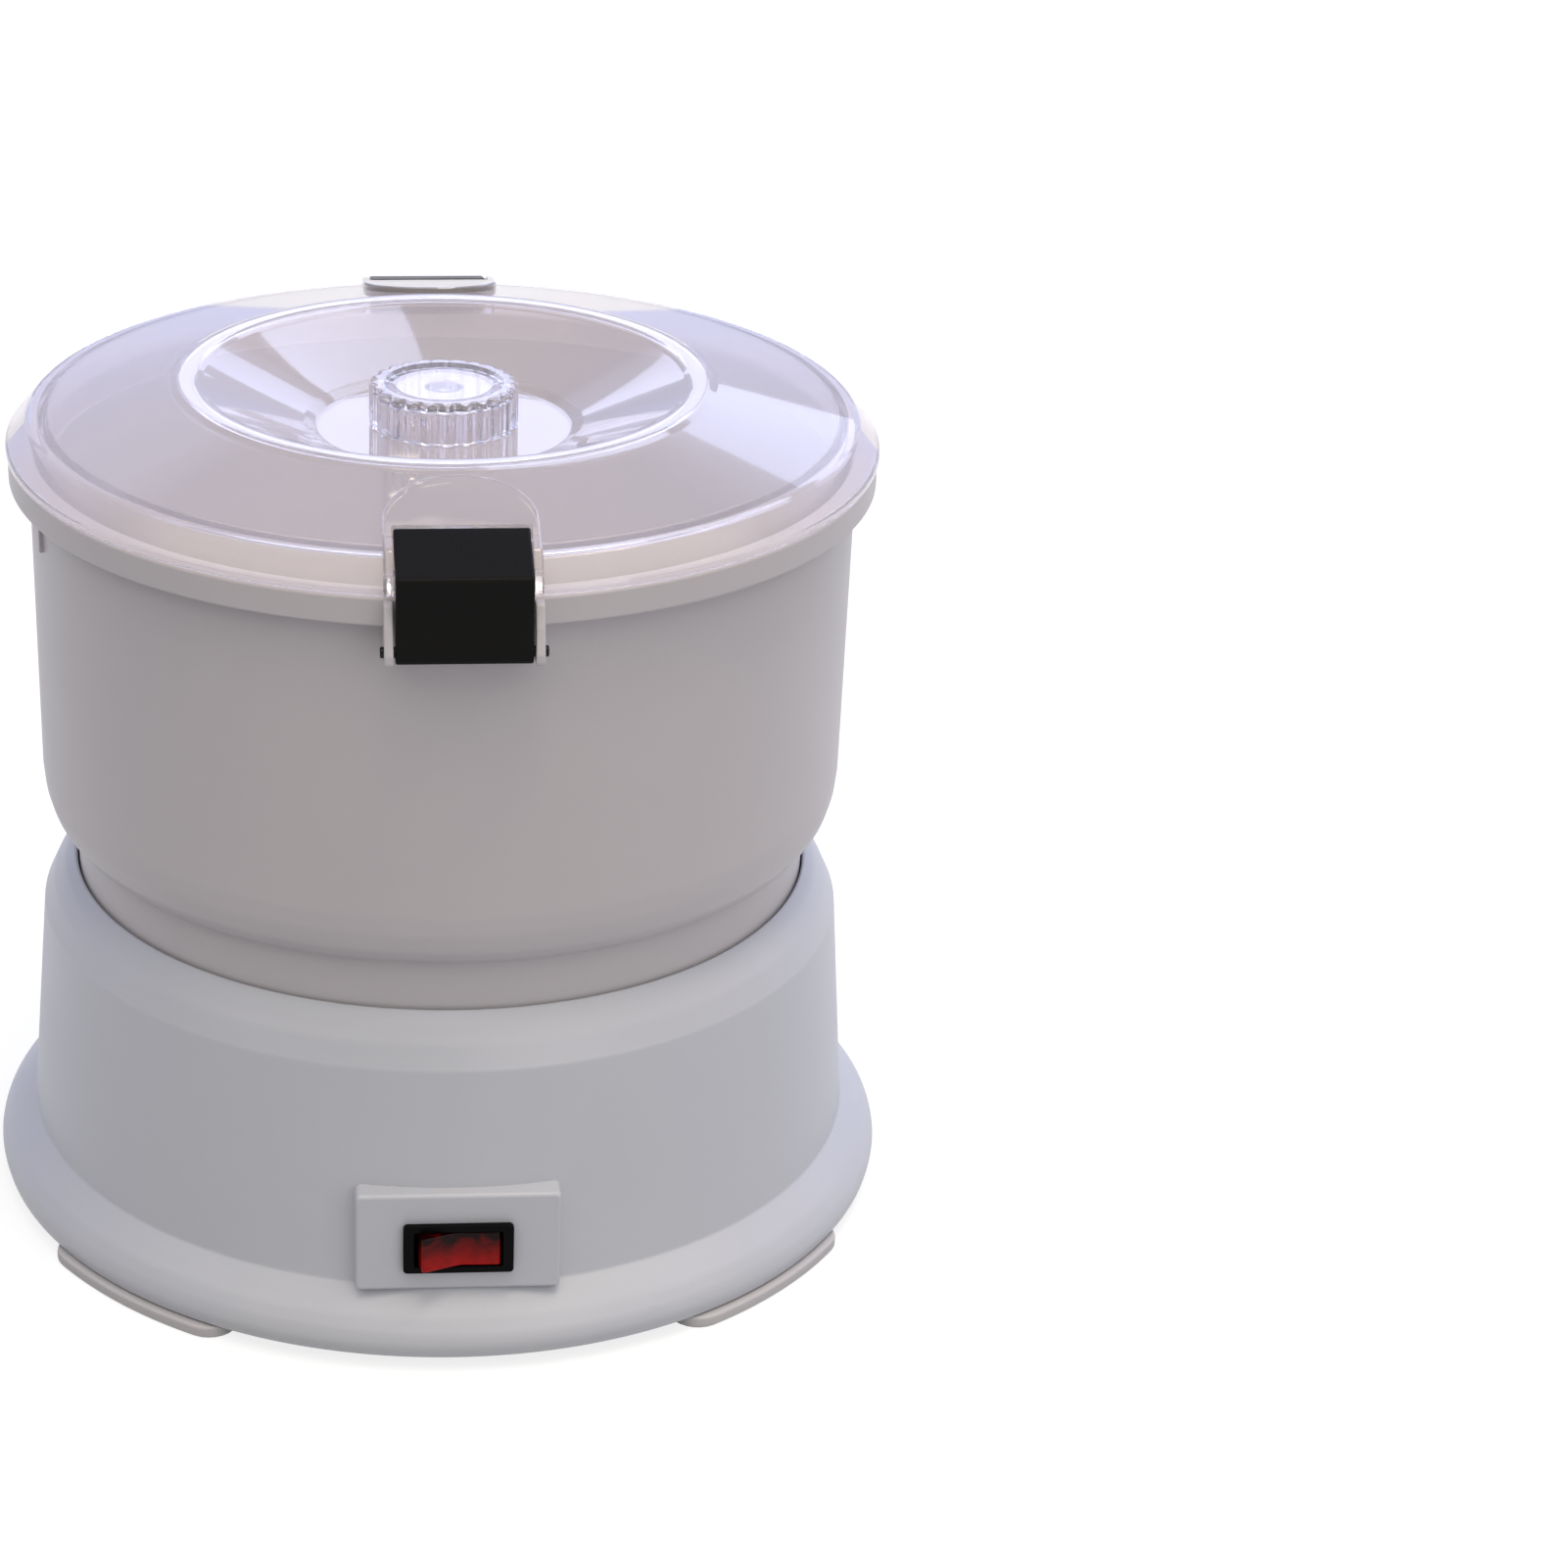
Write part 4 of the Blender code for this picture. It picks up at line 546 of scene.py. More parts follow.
def add_node(
    tree: bpy.types.NodeTree, kind: str, inputs: Mapping[str | int, Value] | None = None,
    **settings: str | bool,
) -> Node:
    """Adds a node with its settings and links.

    Args:
        tree: The tree that gets the node.
        kind: Blender's name for the node.
        inputs: Socket names or numbers, each with a value, with the output that feeds it, or
            with the node whose first output in use feeds it.
        settings: Properties of the node.

    Returns:
        The new node.
    """
    node = tree.nodes.new(kind)
    for key, value in settings.items():
        setattr(node, key, value)
    for key, value in (inputs or {}).items():
        if isinstance(value, Node):
            value = next(output for output in value.outputs if output.enabled)
        if isinstance(value, Socket):
            tree.links.new(value, node.inputs[key])
        else:
            node.inputs[key].default_value = value
    return node


# Finishes


@dataclass(frozen=True)
class Finish:
    """A surface finish that makes its material once."""

    name: str

    def material(self) -> bpy.types.Material:
        """Gives out the material, and builds it the first time.

        Returns:
            The material.
        """
        made = bpy.data.materials.get(self.name)
        if made is None:
            made = bpy.data.materials.new(self.name)
            made.use_nodes = True
            made.node_tree.nodes.clear()
            node = partial(add_node, made.node_tree)
            node("ShaderNodeOutputMaterial", {"Surface": self.dress(node)})
        return made

    def dress(self, node: Adder) -> Node:
        """Builds the shader with its pattern, which lies on the object's coordinates.

        Args:
            node: Adds a node to the material's tree, as add_node says.

        Returns:
            The node that goes to the surface.
        """
        raise NotImplementedError


@dataclass(frozen=True)
class Moulded(Finish):
    """Plastic or rubber out of a mould: an even body colour that drifts a little along the
    flow, and the fine spark-eroded grain of the tool, which breaks up the highlights."""

    colour: str
    drift: str
    roughness: float = 0.4
    spread: float = 0.06
    flow: float = 0.045
    grain: float = 0.0009
    relief: float = 0.00004
    ior: float = 1.53
    specular: float = 0.5

    def dress(self, node: Adder) -> Node:
        """Builds the shader with its pattern, as Finish.dress says."""
        place = node("ShaderNodeTexCoord").outputs["Object"]
        # The real grain is about 0.1 mm, too fine to show, so it is drawn as coarse as
        # the grain field says.
        grain = node("ShaderNodeTexNoise", {
            "Vector": place, "Scale": 1 / self.grain, "Detail": 2.0, "Roughness": 0.55
        })
        flow = node("ShaderNodeTexNoise", {
            "Vector": place, "Scale": 1 / self.flow, "Detail": 3.0, "Distortion": 0.6
        })
        tints = {0: flow, 6: srgb(self.colour), 7: srgb(self.drift)}
        mixed = node("ShaderNodeMath", {0: grain, 1: 0.5, 2: flow}, operation="MULTIPLY_ADD")
        gloss = node("ShaderNodeMapRange", {
            "Value": mixed, "From Min": 0.4, "From Max": 1.1,
            "To Min": self.roughness - self.spread, "To Max": self.roughness + self.spread,
        })
        return node("ShaderNodeBsdfPrincipled", {
            "Base Color": node("ShaderNodeMix", tints, data_type="RGBA"),
            "Roughness": gloss,
            "IOR": self.ior,
            "Specular IOR Level": self.specular,
            "Normal": node("ShaderNodeBump", {"Height": grain, "Strength": 0.6, "Distance": self.relief}),
        })


@dataclass(frozen=True)
class ClearMoulded(Finish):
    """Clear polystyrene or glass: colourless with a breath of tint, polished by the tool, with
    long soft waves where it sank in cooling, so that reflections bend."""

    colour: str
    roughness: float = 0.03
    ior: float = 1.58
    clear: float = 1.0
    wave: float = 0.016
    haze: float = 0.03
    relief: float = 0.00002

    def dress(self, node: Adder) -> Node:
        """Builds the shader with its pattern, as Finish.dress says."""
        place = node("ShaderNodeTexCoord").outputs["Object"]
        wave, haze = (
            node("ShaderNodeTexNoise", {"Vector": place, "Scale": 1 / size, "Detail": 1.0})
            for size in (self.wave, self.haze)
        )
        gloss = node("ShaderNodeMapRange", {
            "Value": haze, "From Min": 0.35, "From Max": 0.75,
            "To Min": self.roughness, "To Max": self.roughness * 1.9,
        })
        shader = node("ShaderNodeBsdfPrincipled", {
            "Base Color": srgb(self.colour),
            "Roughness": gloss,
            "IOR": self.ior,
            "Transmission Weight": self.clear,
            "Normal": node("ShaderNodeBump", {"Height": wave, "Strength": 0.5, "Distance": self.relief}),
        })
        # Light passes to what lies behind the clear wall, instead of being lost there.
        path = node("ShaderNodeLightPath").outputs
        rays = {0: path["Is Shadow Ray"], 1: path["Is Diffuse Ray"]}
        passing = node("ShaderNodeMath", rays, operation="MAXIMUM")
        through = node("ShaderNodeBsdfTransparent", {"Color": srgb(self.colour)})
        return node("ShaderNodeMixShader", {0: passing, 1: shader, 2: through})


@dataclass(frozen=True)
class RedLens(Finish):
    """Red polycarbonate, moulded and polished. Its colour is painted light, standing in for light from
    above that gathers along the lower edge:
    painted shade makes the lens nearly black at its top, and a painted glow makes it deep red lower down."""

    # Red of the painted glow low down, and near black of the painted shade at the top.
    colour: str = "#a40d0a"
    deep: str = "#180001"
    swirl: float = 0.0060
    top: float = 0.0412
    bottom: float = 0.0310

    def dress(self, node: Adder) -> Node:
        """Builds the shader with its pattern, as Finish.dress says."""
        place = node("ShaderNodeTexCoord").outputs["Object"]
        height = node("ShaderNodeSeparateXYZ", {0: place}).outputs["Z"]
        swirl = node("ShaderNodeTexNoise", {
            "Vector": place, "Scale": 1 / self.swirl, "Detail": 2.0, "Distortion": 1.2
        })
        # Painted shade share: none at the bottom, all at the top, broken up by the swirl; where it is
        # low, the painted glow shows.
        depth = node(
            "ShaderNodeMapRange", {"Value": height, "From Min": self.bottom, "From Max": self.top}
        )
        shift = node("ShaderNodeMath", {0: swirl, 1: 0.9, 2: -0.40}, operation="MULTIPLY_ADD")
        painted_shade_share = node("ShaderNodeMath", {0: depth, 1: shift}, operation="ADD", use_clamp=True)
        tints = {0: painted_shade_share, 6: srgb(self.colour), 7: srgb(self.deep)}
        return node("ShaderNodeBsdfPrincipled", {
            "Base Color": node("ShaderNodeMix", tints, data_type="RGBA"),
            "Roughness": 0.14,
            "IOR": 1.58,
            "Specular IOR Level": 0.06,
            "Transmission Weight": 0.05,
            "Coat Weight": 0.04,
            "Coat Roughness": 0.05,
            "Normal": node("ShaderNodeBump", {"Height": swirl, "Strength": 0.35, "Distance": 0.0002}),
        })


@dataclass(frozen=True)
class Metal(Finish):
    """Bare or plated metal: reflections drawn out along the marks of the tool. The stretch
    says which way they run: brushed along Z, or even in all directions for a plated part."""

    colour: str
    tarnish: str
    roughness: float = 0.3
    mark: float = 0.0008
    stretch: Triple = (1.0, 1.0, 1.0)
    stain: float = 0.011
    relief: float = 0.00002

    def dress(self, node: Adder) -> Node:
        """Builds the shader with its pattern, as Finish.dress says."""
        place = node("ShaderNodeTexCoord").outputs["Object"]
        along = node("ShaderNodeMapping", {"Vector": place, "Scale": self.stretch})
        marks = node("ShaderNodeTexNoise", {"Vector": along, "Scale": 1 / self.mark, "Detail": 3.0})
        stain = node("ShaderNodeTexNoise", {"Vector": place, "Scale": 1 / self.stain, "Detail": 4.0})
        worn = node("ShaderNodeMapRange", {"Value": stain, "From Min": 0.4, "From Max": 0.8})
        tints = {0: worn, 6: srgb(self.colour), 7: srgb(self.tarnish)}
        gloss = node("ShaderNodeMapRange", {
            "Value": marks, "From Min": 0.3, "From Max": 0.7,
            "To Min": self.roughness * 0.75, "To Max": self.roughness * 1.3,
        })
        return node("ShaderNodeBsdfPrincipled", {
            "Base Color": node("ShaderNodeMix", tints, data_type="RGBA"),
            "Metallic": 1.0,
            "Roughness": gloss,
            "Normal": node("ShaderNodeBump", {"Height": marks, "Strength": 0.5, "Distance": self.relief}),
        })


@dataclass(frozen=True)
class Winding(Finish):
    """Enamelled copper wire wound in layers: fine round ridges side by side, with lacquer
    over them that catches the light, and painted shade that darkens the grooves between them.
    Real wire is 0.3 mm, and its rows are drawn 4.4 mm wide so that they show."""

    colour: str = "#9c4f2b"
    # Painted shade in the grooves between the rows.
    dark: str = "#4d2412"
    row: float = 0.0007 * math.tau

    def dress(self, node: Adder) -> Node:
        """Builds the shader with its pattern, as Finish.dress says."""
        place = node("ShaderNodeTexCoord").outputs["Object"]
        # The wave texture turns through 20 radians in a metre at a scale of one.
        scale = math.tau / (20 * self.row)
        waves = {"Vector": place, "Scale": scale, "Distortion": 0.6, "Detail": 1.0}
        rows = node("ShaderNodeTexWave", waves, bands_direction="Z").outputs["Fac"]
        # Painted shade: the colour darkens where the bump sinks between the rows.
        tints = {0: rows, 6: srgb(self.dark), 7: srgb(self.colour)}
        return node("ShaderNodeBsdfPrincipled", {
            "Base Color": node("ShaderNodeMix", tints, data_type="RGBA"),
            "Metallic": 1.0,
            "Roughness": 0.35,
            "Coat Weight": 0.5,
            "Normal": node("ShaderNodeBump", {"Height": rows, "Strength": 0.8, "Distance": 0.0002}),
        })


@dataclass(frozen=True)
class StudioPaper(Finish):
    """Matt paper that the camera sees as white with a faint shadow, and the object as grey."""

    colour: str = "#acacad"
    glow: float = 0.80
    shadow: float = 0.26

    def dress(self, node: Adder) -> Node:
        """Builds the plain shader, as Finish.dress says."""
        path = node("ShaderNodeLightPath").outputs
        rays = {0: path["Is Camera Ray"], 1: path["Is Transmission Ray"]}
        clear = node("ShaderNodeMath", rays, operation="MAXIMUM")
        either = node("ShaderNodeMath", {0: clear, 1: path["Is Glossy Ray"]}, operation="MAXIMUM")
        white = node("ShaderNodeEmission", {"Strength": self.glow})
        dim = node("ShaderNodeBsdfDiffuse", {"Color": (*[self.shadow] * 3, 1.0)})
        seen = node("ShaderNodeAddShader", {0: white, 1: dim})
        paper = node("ShaderNodeBsdfDiffuse", {"Color": srgb(self.colour)})
        return node("ShaderNodeMixShader", {0: either, 1: paper, 2: seen})


# ABS out of a spark-eroded tool: even greys, warm or cool, with broad soft highlights.
BOWL_ABS = Moulded("moulded_abs_warm_grey", "#bab6b7", "#c0bcbc", 0.40)
BASE_ABS = Moulded("moulded_abs_cool_grey", "#bcbfc5", "#c2c4c9", 0.40)
DISC_ABS = Moulded("moulded_abs_disc_grey", "#bcb8b6", "#c4c0bd", 0.45)
# Black nylon and black ABS: nearly no light comes back, apart from a thin sheen.
SWITCH_NYLON = Moulded("moulded_black_nylon", "#070708", "#0b0b0c", 0.32, relief=0.00002, specular=0.04)
LATCH_ABS = Moulded("moulded_black_abs", "#181817", "#1d1d1c", 0.30, 0.05, relief=0.00001, specular=0.03)
# Polypropylene and natural nylon: waxy, with dull highlights.
DARK_PP = Moulded("moulded_dark_polypropylene", "#2c2d2f", "#343537", 0.5)
WHITE_NYLON = Moulded("moulded_white_nylon", "#dedbd2", "#e6e3da", 0.42)
# Rubber: matt, with a coarser skin than the plastics.
BLACK_RUBBER = Moulded("moulded_black_rubber", "#161617", "#202021", 0.72, grain=0.0014, relief=0.00009)
GREY_RUBBER = Moulded("moulded_grey_rubber", "#bbb9b9", "#c3c1c1", 0.62, grain=0.0014, relief=0.00007)
# PVC drawn round the leads: plain colours with a satin face.
BROWN_PVC = Moulded("extruded_brown_pvc", "#50301f", "#5c3826", 0.45)
BLUE_PVC = Moulded("extruded_blue_pvc", "#1d4f93", "#255ba3", 0.45)
# Polystyrene and glass: what lies behind shows through, under sharp white reflections.
LID_STYRENE = ClearMoulded("moulded_clear_polystyrene", "#f9f6f6", clear=0.83)
KNOB_STYRENE = ClearMoulded("polished_clear_polystyrene", "#f9f7f9", 0.02, clear=0.92)
CLEAR_LAMP = ClearMoulded("blown_lamp_glass", "#f6ece2", 0.02, 1.5)
# Red polycarbonate over the lamp, with painted shade at its top and a painted glow lower down.
ROCKER_LENS = RedLens("moulded_red_polycarbonate")
# Steel: streaks on the brushed sheet and the ground shaft, an even sheen on the plated screws
# and the pressed case, and nearly none on the pins, which are drawn nearly black.
BLADE_STEEL = Metal("brushed_stainless_sheet", "#cfccc6", "#b9b5ae", 0.28, 0.0006, (1.0, 1.0, 0.06))
SCREW_STEEL = Metal("zinc_plated_steel", "#c3c4c4", "#a8a69c", 0.30)
SHAFT_STEEL = Metal("ground_bearing_steel", "#bdbcba", "#a09d98", 0.22, 0.0004, (0.1, 0.1, 1.0))
# Nearly black steel for the latch pins.
PIN_STEEL = Metal("blackened_steel_pin", "#2a2a2b", "#1c1c1d", 0.38)
CASE_STEEL = Metal("pressed_motor_steel", "#9a9b9c", "#7f7e7b", 0.38)
# Sintered bronze: a warm, slightly oily yellow. Wound copper: red-brown rows under lacquer.
BRONZE = Metal("sintered_bronze", "#b08a4e", "#8a6637", 0.34)
COPPER_WIRE = Winding("wound_enamelled_copper")
# Paper under the peeler: white to the eye, with a faint shadow.
STUDIO_PAPER = StudioPaper("pale_studio_paper")


def hand_over(piece: Piece, finish: Finish, body: Body, slot: Slot, *nodes: str) -> None:
    """Shades a finished piece, gives it its finish, and hands it to the frame.

    Args:
        piece: The finished piece.
        finish: Its finish.
        body: The CAD body that it rides on.
        slot: The record's slot for the piece. It is not used.
        nodes: The CAD nodes that it stands for.
    """
    piece.data.materials.clear()
    piece.data.materials.append(finish.material())
    shade(piece)
    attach(piece, body.value)
    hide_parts(*nodes)
    LOG.info("%s: %d faces for %s", piece.name, len(piece.data.polygons), ", ".join(nodes))


# Repeated parts


class Recipe:
    """A Geometry Nodes tree with named sizes, baked into one plain mesh."""

    def __init__(self, name: str, sizes: Mapping[str, float | int]) -> None:
        """Starts the tree.

        Args:
            name: Name of the tree and of the piece.
            sizes: Its inputs, each with the value that it is baked with.
        """
        self.name = name
        self.tree = bpy.data.node_groups.new(name, "GeometryNodeTree")
        self.node = partial(add_node, self.tree)
        self.values: dict[str, float | int] = {}
        new_socket = self.tree.interface.new_socket
        for label, size in sizes.items():
            kind = "NodeSocketInt" if isinstance(size, int) else "NodeSocketFloat"
            self.values[new_socket(label, in_out="INPUT", socket_type=kind).identifier] = size
        new_socket("Geometry", in_out="OUTPUT", socket_type="NodeSocketGeometry")
        self.sizes = self.node("NodeGroupInput").outputs

    def ring(self, geometry: Value) -> Node:
        """Repeats a shape round the upright axis.

        The tree's sizes Count, Start, Step and Lean say how many there are, the angle of
        the first, the angle between them, and an angle added and taken away by turns.

        Args:
            geometry: The shape in its place at angle zero.

        Returns:
            The node that makes the ring of shapes.
        """
        node, sizes = self.node, self.sizes
        index = node("GeometryNodeInputIndex")
        evenly = {0: index, 1: sizes["Step"], 2: sizes["Start"]}
        even = node("ShaderNodeMath", evenly, operation="MULTIPLY_ADD")
        odd = node("ShaderNodeMath", {0: index, 1: 2.0}, operation="MODULO")
        sign = node("ShaderNodeMath", {0: odd, 1: -2.0, 2: 1.0}, operation="MULTIPLY_ADD")
        leaning = {0: sign, 1: sizes["Lean"], 2: even}
        angle = node("ShaderNodeMath", leaning, operation="MULTIPLY_ADD")
        spin = node("FunctionNodeAxisAngleToRotation", {"Axis": (0.0, 0.0, 1.0), "Angle": angle})
        hubs = node("GeometryNodePoints", {"Count": sizes["Count"]})
        places = {"Points": hubs, "Instance": geometry, "Rotation": spin}
        return node("GeometryNodeInstanceOnPoints", places)

    def make(self, geometry: Value, finish: Finish, *blanks: Piece) -> Piece:
        """Ends the tree and bakes it into one plain mesh.

        Args:
            geometry: What the tree has made.
            finish: The finish that it sets.
            blanks: Objects that the tree reads, which are removed.

        Returns:
            The finished piece.
        """
        whole = self.node("GeometryNodeRealizeInstances", {"Geometry": geometry})
        coat = {"Geometry": whole, "Material": finish.material()}
        self.node("NodeGroupOutput", {"Geometry": self.node("GeometryNodeSetMaterial", coat)})
        piece = bpy.data.objects.new(self.name, bpy.data.meshes.new(self.name))
        bpy.context.scene.collection.objects.link(piece)
        step = piece.modifiers.new("recipe", "NODES")
        step.node_group = self.tree
        for socket, size in self.values.items():
            step[socket] = size
        bake(piece)
        for blank in blanks:
            bpy.data.objects.remove(blank)
        return piece


def ring_of(
    name: str, blank: Piece, finish: Finish, count: int, start: float = 0.0, lean: float = 0.0
) -> Piece:
    """Repeats a blank evenly round the upright axis with Geometry Nodes.

    Args:
        name: Name of the piece.
        blank: The shape in its place at angle zero, which is used up.
        finish: Its finish.
        count: How many there are.
        start: Angle of the first.
        lean: Angle added to the first, taken from the second, and so on.

    Returns:
        All of them as one piece.
    """
    recipe = Recipe(name, {"Count": count, "Start": start, "Step": math.tau / count, "Lean": lean})
    shape = recipe.node("GeometryNodeObjectInfo", {"Object": blank}).outputs["Geometry"]
    return recipe.make(recipe.ring(shape), finish, blank)


def blades_of(
    name: str, strip: Piece, tooth: Piece, teeth: int, pitch: float, axis: str, start: float
) -> Piece:
    """Sets a row of teeth on a strip, and repeats the blade three times round the axis.

    Args:
        name: Name of the piece.
        strip: The blade's strip in its place at angle zero, which is used up.
        tooth: The first tooth on it, which is used up.
        teeth: How many teeth there are.
        pitch: Distance between them.
        axis: X, Y or Z, the way the row runs.
        start: Angle of the first blade.

    Returns:
        The three blades as one piece.
    """
    third = math.tau / 3
    recipe = Recipe(name, {
        "Teeth": teeth, "Pitch": pitch, "Count": 3, "Start": start, "Step": third, "Lean": 0.0
    })
    node, sizes = recipe.node, recipe.sizes
    step = node("ShaderNodeCombineXYZ", {axis: sizes["Pitch"]})
    line = node("GeometryNodeMeshLine", {"Count": sizes["Teeth"], "Offset": step})
    strip_shape, tooth_shape = (
        node("GeometryNodeObjectInfo", {"Object": blank}).outputs["Geometry"]
        for blank in (strip, tooth)
    )
    row = node("GeometryNodeInstanceOnPoints", {"Points": line, "Instance": tooth_shape})
    blade = node("GeometryNodeJoinGeometry", {0: row})
    recipe.tree.links.new(strip_shape, blade.inputs[0])
    return recipe.make(recipe.ring(blade), BLADE_STEEL, strip, tooth)


def numbered(stem: str, count: int) -> list[str]:
    """The names of nodes that are numbered from one."""
    return [f"{stem}_{index + 1}" for index in range(count)]


@dataclass
class ScrewBlank:
    """Pan-head screw, head down, with a cross recess and the crests of its thread."""

    length: float
    root_z: float
    spot: Point = (0.0, 0.0)
    radius: float = 0.0015
    tip: float = 0.0012
    head_radius: float = 0.0030
    head_height: float = 0.0020
    head_round: float = 0.0012
    edge: float = 0.0001
    pitch: float = 0.0009
    thread: float = 0.0003
    crest: float = 0.45
    root: float = 0.95
    recess: float = 0.0011
    recess_half: Point = (0.00165, 0.0003)

    def make(self, name: str) -> Piece:
        """Builds one screw in its place.

        Args:
            name: Name of the blank.

        Returns:
            The screw.
        """
        low = self.root_z - self.head_height
        core = self.radius - self.thread
        section: list[Corner] = [
            (0.0, low), (self.head_radius, low, self.head_round),
            (self.head_radius, self.root_z, self.edge), (core, self.root_z),
        ]
        for turn in range(int((self.length - self.tip) / self.pitch)):
            z = self.root_z + turn * self.pitch
            section += [(self.radius, z + self.pitch * self.crest), (core, z + self.pitch * self.root)]
        section.append((0.0, self.root_z + self.length))
        place = Matrix.Translation((*self.spot, 0.0))
        screw = turned(name, section, Sides.SCREW, place, 0.0)
        for x, y in (self.recess_half, self.recess_half[::-1]):
            bar = rectangle((-x, -y), (x, y), self.edge)
            slot = prism("recess", bar, low - OVERRUN / 2, low + self.recess, place=place)
            combine(screw, Join.CUT, slot)
        return screw


# Sub-assemblies


@dataclass
class BaseHousing:
    """Moulded base shell: a deck that takes the bowl, a shoulder, a wall and a wide skirt."""

    wall: float = 0.0024
    face: tuple[Triple, ...] = (
        (0.0143, 0.0920, 0.0004), (0.1092, 0.0920, 0.0008), (0.1092, 0.1028, 0.0007),
        (0.1130, 0.0990, 0.008), (0.1165, 0.0940, 0.008), (0.1190, 0.0885, 0.006),
        (0.1195, 0.0875, 0.006), (0.1245, 0.0215, 0.0012), (0.1280, 0.0186, 0.008),
        (0.1320, 0.0150, 0.008), (0.1345, 0.0115, 0.006), (0.1355, 0.0080, 0.006),
        (0.1345, 0.0040, 0.0006),
    )
    pad_half: Point = (0.02885, 0.01535)
    pad_middle: float = 0.03685
    pad_corner: float = 0.0016
    pad_ends: Point = (0.1182, 0.1262)
    pad_edge: float = 0.0012
    hollow_corner: float = 0.0010
    hollow_back: float = 0.1062
    window_half: Point = (0.0138, 0.0063)
    window_corner: float = 0.0003
    inlet_radius: float = 0.0063
    inlet_ends: Point = (0.1120, 0.1350)
    column_circle: float = 0.1040
    column_radius: float = 0.0040
    column_low: float = 0.0083
    column_bore: float = 0.0018

    def openings(self) -> list[Piece]:
        """Makes what is cut out: the pad's hollow, the switch window and the cord hole.

        Returns:
            The three cutters.
        """
        front = self.pad_ends[1]
        back = front - self.wall
        half = (self.pad_half[0] - self.wall, self.pad_half[1] - self.wall)
        window = (back - OVERRUN, front + OVERRUN)
        return [
            front_box("pad_hollow", half, self.pad_middle, self.hollow_corner, (self.hollow_back, back)),
            front_box("switch_window", self.window_half, SWITCH_Z, self.window_corner, window),
            cylinder("cord_hole", self.inlet_radius, self.inlet_ends, (0.0, INLET_Z), TO_REAR),
        ]

    def columns(self) -> Piece:
        """Makes the four posts that the bottom plate screws on.

        Returns:
            All four as one shape.
        """
        bore, radius, low = self.column_bore, self.column_radius, self.column_low
        top = self.face[0][1] - self.wall / 2
        place = Matrix.Translation((self.column_circle, 0.0, 0.0))
        section = ((bore, low), (radius, low), (radius, top), (bore, top))
        post = turned("column", section, Sides.SCREW, place)
        return ring_of("housing_columns", post, BASE_ABS, 4, DIAGONAL)

    def build(self) -> None:
        """Builds the housing and hands it over."""
        inner = moved_right(self.face, self.wall)
        housing = turned("base_shell", (*self.face, *reversed(inner)), Sides.SHELL)
        pad = front_box(
            "switch_pad", self.pad_half, self.pad_middle, self.pad_corner, self.pad_ends, self.pad_edge
        )
        combine(housing, Join.ADD, pad)
        combine(housing, Join.CUT, *self.openings())
        together(housing, self.columns())
        hand_over(housing, BASE_ABS, Body.BASE, Slot.GREY_PLASTIC, "base_housing")


@dataclass
class Feet:
    """Four arc-shaped rubber feet with round ends, and the pegs that hold them."""

    middle: float = 0.1282
    half_width: float = 0.0085
    half_span: float = math.radians(15.5)
    height: float = 0.0037
    edge: float = 0.0009
    lean: float = math.radians(0.1)
    peg_circle: float = 0.1250
    peg_radius: float = 0.0025
    peg_spread: float = math.radians(8)
    peg_ends: Point = (0.0020, 0.0080)
    arc_steps: int = 28
    end_steps: int = 12

    def outline(self) -> list[Point]:
        """Draws one foot from above, centred on +X.

        Returns:
            Its points.
        """
        reach = self.half_span - self.half_width / self.middle
        points: list[Point] = []
        for side in (1, -1):
            radius = self.middle + side * self.half_width
            for step in range(self.arc_steps + 1):
                points.append(polar(radius, side * reach * (2 * step / self.arc_steps - 1)))
            hub = polar(self.middle, side * reach)
            for step in range(1, self.end_steps):
                swing = side * reach + math.pi * step / self.end_steps
                x, y = polar(side * self.half_width, swing)
                points.append((hub[0] + x, hub[1] + y))
        return points

    def build(self) -> None:
        """Builds one foot, repeats it and hands the four over."""
        pad = prism("foot_pad", self.outline(), 0.0, self.height, self.edge)
        for angle in (-self.peg_spread, self.peg_spread):
            spot = polar(self.peg_circle, angle)
            peg = cylinder("foot_peg", self.peg_radius, self.peg_ends, spot, segments=Sides.SCREW)
            together(pad, peg)
        feet = ring_of("rubber_feet", pad, GREY_RUBBER, 4, DIAGONAL, self.lean)
        names = [f"foot_{end}_{hand}" for end in ("front", "rear") for hand in ("left", "right")]
        hand_over(feet, GREY_RUBBER, Body.BASE, Slot.GREY_RUBBER, *names)


